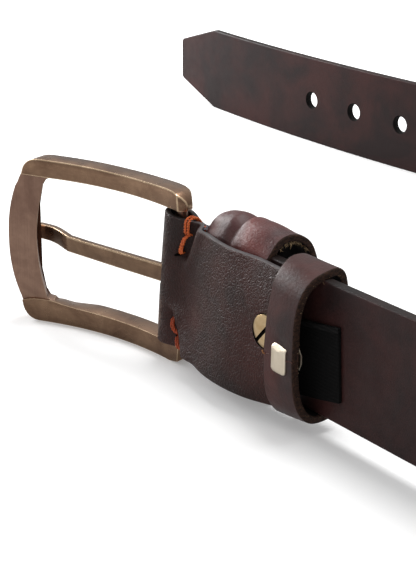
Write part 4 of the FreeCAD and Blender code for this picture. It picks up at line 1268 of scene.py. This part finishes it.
def upper_arm_outline():
    points = [(-3.1, 19.2), (46.0, 19.2), (50.5, 19.3)]
    points += [tuple(p) for p in curve_through(UPPER_CORNER, 14)]
    points += [(34, 24.3), (24, 24.15), (12, 24.2), (4, 24.4), (1.2, 24.3), (-0.4, 23.9),
               (-1.8, 23.0), (-2.8, 21.8), (-3.3, 20.5)]
    return points


def lower_arm_outline():
    points = [(-3.1, -19.2), (5.5, -19.2), (12, -19.1), (24, -19.0), (38, -18.75),
              (43, -18.3), (46.5, -17.7), (49.8, -17.6), (52.2, -17.75), (54.6, -18.2)]
    points += [tuple(p) for p in curve_through(LOWER_CORNER, 15)]
    points += [(2.4, -24.45), (-0.9, -23.7), (-2.8, -22.5), (-3.4, -21.2)]
    return points


def outer_edge(w):
    return REACH - 4.2 * (np.abs(w) / 20.0) ** 2.3


def inner_edge(w):
    return 50.9 - 3.66 * (w / 20.0) ** 2


def round_arc(cu, cw, radius, start, end, count=8):
    turn = np.radians(np.linspace(start, end, count))
    return [(cu + radius * math.cos(t), cw + radius * math.sin(t)) for t in turn]


def bar_outline():
    heights = np.linspace(-16.0, 16.0, 25)
    points = [(55.4, -20.2), (55.8, -18.8), (56.25, -17.3)]
    points += [(float(outer_edge(w)), float(w)) for w in heights]
    points += [(56.1, 17.2), (55.6, 18.5), (55.05, 19.6), (54.7, 20.4), (45.8, 20.4)]
    points += [(45.8, 19.2)] + round_arc(45.85, 16.7, 2.5, 90, 8, 7)
    points += [(float(inner_edge(w)), float(w)) for w in np.linspace(15.6, -14.6, 23)]
    points += round_arc(46.2, -15.4, 2.5, -4, -90, 7) + [(46.1, -20.2)]
    return points


def bar_shear(points):
    """The outer bar is a wedge: its inner wall leans outwards towards the front."""
    front = (points[:, 1] - BAR_BACK) / (BAR_FRONT - BAR_BACK)
    inner = smooth(-points[:, 0], -(inner_edge(points[:, 2]) + 3.0), -inner_edge(points[:, 2]))
    points[:, 0] += 3.1 * front * inner * (1 - smooth(np.abs(points[:, 2]), 17.5, 19.2))
    return points


def arm_shear(points):
    """The lower arm's raised lip at the corner falls away towards the front."""
    lean = smooth(points[:, 2], -21.0, -18.6) * smooth(points[:, 0], 34, 46)
    points[:, 2] -= 1.4 * lean * (points[:, 1] + ARM_HALF) / (2 * ARM_HALF)
    return points


def arm_ends(side):
    """Cutting planes that taper an arm's end, above (1) or below (-1) the middle."""
    high, low, middle = side * 24.4, side * 19.2, side * 22.0
    behind = (-0.7, -ARM_HALF, high), (-1.3, -ARM_HALF, low), (-3.35, -0.3, middle)
    ahead = (-1.0, ARM_HALF, high), (-1.4, ARM_HALF, low), (-3.3, 1.6, middle)
    return [facet(*behind), facet(*ahead)]


def build_buckle():
    upper = plate("upper_arm", upper_arm_outline(), -ARM_HALF, ARM_HALF, 0.32, arch, FRAME_MID,
                  arm_ends(1))
    lower = plate("lower_arm", lower_arm_outline(), -ARM_HALF, ARM_HALF, 0.32, arch, FRAME_MID,
                  arm_ends(-1), shear=arm_shear)
    outer = plate("outer_bar", bar_outline(), BAR_BACK, BAR_FRONT, 0.38, arch, FRAME_MID,
                  shear=bar_shear)
    dressed(upper, "buckle", [ARM_METAL, WORN_LIT_METAL], ["buckle_frame"])
    dressed(lower, "buckle", [ARM_METAL, WORN_LIT_METAL])
    dressed(outer, "buckle", [BAR_METAL, WORN_LIT_METAL])
    pin = [(-21.5, 1.7), (-20.0, 1.7), (20.0, 1.7), (21.5, 1.7)]
    bar = gathered("buckle_bar", [turned_solid((0, 0, FRAME_MID), UPRIGHT, pin, 32)])
    dressed(bar, "buckle", [BAR_METAL])


PRONG_MID = 25.3
EYE_SIDES = 40


def prong_line(u):
    straight = -1.75 + 0.0985 * (u - 1)
    bend = smooth(u, 39.0, 51.0)
    flat = 5.95 + 0.02 * (u - 49.0)
    return np.where(u < 41, straight, straight * (1 - bend) + flat * bend)


def build_prong():
    outline = [(1.0, -2.9), (22, -2.75), (42, -2.45), (54.9, -2.2), (56.0, -1.6), (56.5, -0.7),
               (56.6, 0), (56.5, 0.7), (56.0, 1.6), (54.9, 2.2), (44, 2.2), (34, 1.95),
               (16, 1.95), (1.0, 2.0)]
    blade = plate("prong_blade", outline, -1.1, 1.1, 0.4, prong_line, PRONG_MID, slices=1.0)
    dressed(blade, "buckle_prong", [PRONG_METAL, WORN_LIT_METAL], ["prong"])
    rings = [(-2.8, 1.85), (-2.8, 2.55), (-2.5, 2.85), (2.5, 2.85), (2.8, 2.55), (2.8, 1.85)]
    points, _ = turned_solid((0, 0, PRONG_MID), UPRIGHT, rings, EYE_SIDES)
    faces = ring_faces(len(rings), EYE_SIDES, closed=True)
    dressed(gathered("prong_eye", [(points, faces)]), "buckle_prong",
            PRONG_METAL)


build_buckle()
build_prong()


# ---------------------------------------------------------------- stage, light, camera

AMBIENCE = 0.44
HORIZON = 0.16
FLOOR_IN_GLOSS = 0.32
FLOOR_WHITE = 0.86
FOCAL_PIXELS, PICTURE_PIXELS, SENSOR = 1502.2, 564.0, 36.0
CAMERA_PLACE = (0.30935, -0.21921, 0.16423)


def build_stage():
    """White floor: darker in reflections, and a glow for the camera that grows with distance."""
    half = 3.0
    mesh = bpy.data.meshes.new("floor")
    mesh.from_pydata([(-half, -half, 0), (half, -half, 0), (half, half, 0), (-half, half, 0)],
                     [], [(0, 1, 2, 3)])
    floor = placed("floor", mesh)
    material = bpy.data.materials.new("floor_white")
    tree = cleared(material)
    ray = add_node(tree, "LightPath").outputs
    shade = add_node(tree, "MapRange", {"To Min": FLOOR_WHITE, "To Max": FLOOR_IN_GLOSS,
                                        "Value": ray["Is Glossy Ray"]})
    diffuse = add_node(tree, "BsdfDiffuse", {"Color": shade.outputs["Result"]})
    seen = calculated(tree, "MAXIMUM", ray["Is Camera Ray"], ray["Is Glossy Ray"])
    place = add_node(tree, "TexCoord").outputs["Object"]
    away = add_node(tree, "VectorMath", {0: place, 1: (-0.05, -0.08, 0.0)},
                    operation="DISTANCE")
    reach = add_node(tree, "MapRange", {"From Min": 0.1, "From Max": 0.45, "To Min": 0.22,
                                        "To Max": 0.6, "Value": away.outputs["Value"]},
                     interpolation_type="SMOOTHSTEP")
    share = calculated(tree, "MULTIPLY", seen, reach.outputs["Result"])
    glow = add_node(tree, "Emission", {"Strength": share})
    add = add_node(tree, "AddShader", {0: diffuse.outputs[0], 1: glow.outputs[0]})
    add_node(tree, "OutputMaterial", {0: add.outputs[0]})
    mesh.materials.append(material)


def build_world():
    """White to the camera, a sky that darkens to the horizon in gloss, and soft ambience."""
    world = bpy.data.worlds.new("studio")
    bpy.context.scene.world = world
    tree = cleared(world)
    ray = add_node(tree, "LightPath").outputs
    direction = add_node(tree, "TexCoord").outputs["Generated"]
    split = add_node(tree, "SeparateXYZ", {0: direction})
    height = add_node(tree, "MapRange", {"From Min": -0.05, "From Max": 0.75,
                                         "To Min": HORIZON, "To Max": 1.0,
                                         "Value": split.outputs["Z"]})
    shiny = calculated(tree, "MAXIMUM", ray["Is Glossy Ray"], ray["Is Transmission Ray"])
    sky = calculated(tree, "MULTIPLY", shiny, height.outputs[0])
    seen = calculated(tree, "MAXIMUM", ray["Is Camera Ray"], sky)
    strength = calculated(tree, "MAXIMUM", seen, AMBIENCE)
    background = add_node(tree, "Background", {"Color": (1, 1, 1, 1), "Strength": strength})
    add_node(tree, "OutputWorld", {0: background.outputs[0]})


def add_light(name, place, aim, size, power):
    light = bpy.data.lights.new(name, "AREA")
    light.shape = "RECTANGLE"
    light.size, light.size_y = size
    light.energy = power
    lamp = placed(name, light)
    place, aim = Vector(place), Vector(aim)
    lamp.location = place
    lamp.rotation_euler = (aim - place).to_track_quat("-Z", "Y").to_euler()


def build_camera():
    yaw, pitch, roll = math.radians(53.61), math.radians(20.46), math.radians(0.35)
    ahead = Vector((-math.sin(yaw) * math.cos(pitch), math.cos(yaw) * math.cos(pitch),
                    -math.sin(pitch)))
    right = Vector((math.cos(yaw), math.sin(yaw), 0))
    up = right.cross(ahead)
    right, up = (right * math.cos(roll) + up * math.sin(roll),
                 up * math.cos(roll) - right * math.sin(roll))
    camera = bpy.data.cameras.new("camera")
    camera.lens = FOCAL_PIXELS * SENSOR / PICTURE_PIXELS
    camera.sensor_width = SENSOR
    camera.clip_start = 0.01
    holder = placed("camera", camera)
    spot = Vector(BAR) + Vector(CAMERA_PLACE)
    turn = Matrix((right, up, -ahead)).transposed().to_4x4()
    holder.matrix_world = Matrix.Translation(spot) @ turn
    bpy.context.scene.camera = holder


build_stage()
build_world()
add_light("softbox_top", (-0.05, 0.3, 1.3), (-0.05, -0.09, 0), (0.8, 0.62), 13.5)
add_light("softbox_left", (-0.95, -0.2, 0.36), (-0.06, -0.1, 0.02), (0.6, 0.45), 9)
build_camera()
bpy.context.scene.view_settings.view_transform = "Standard"
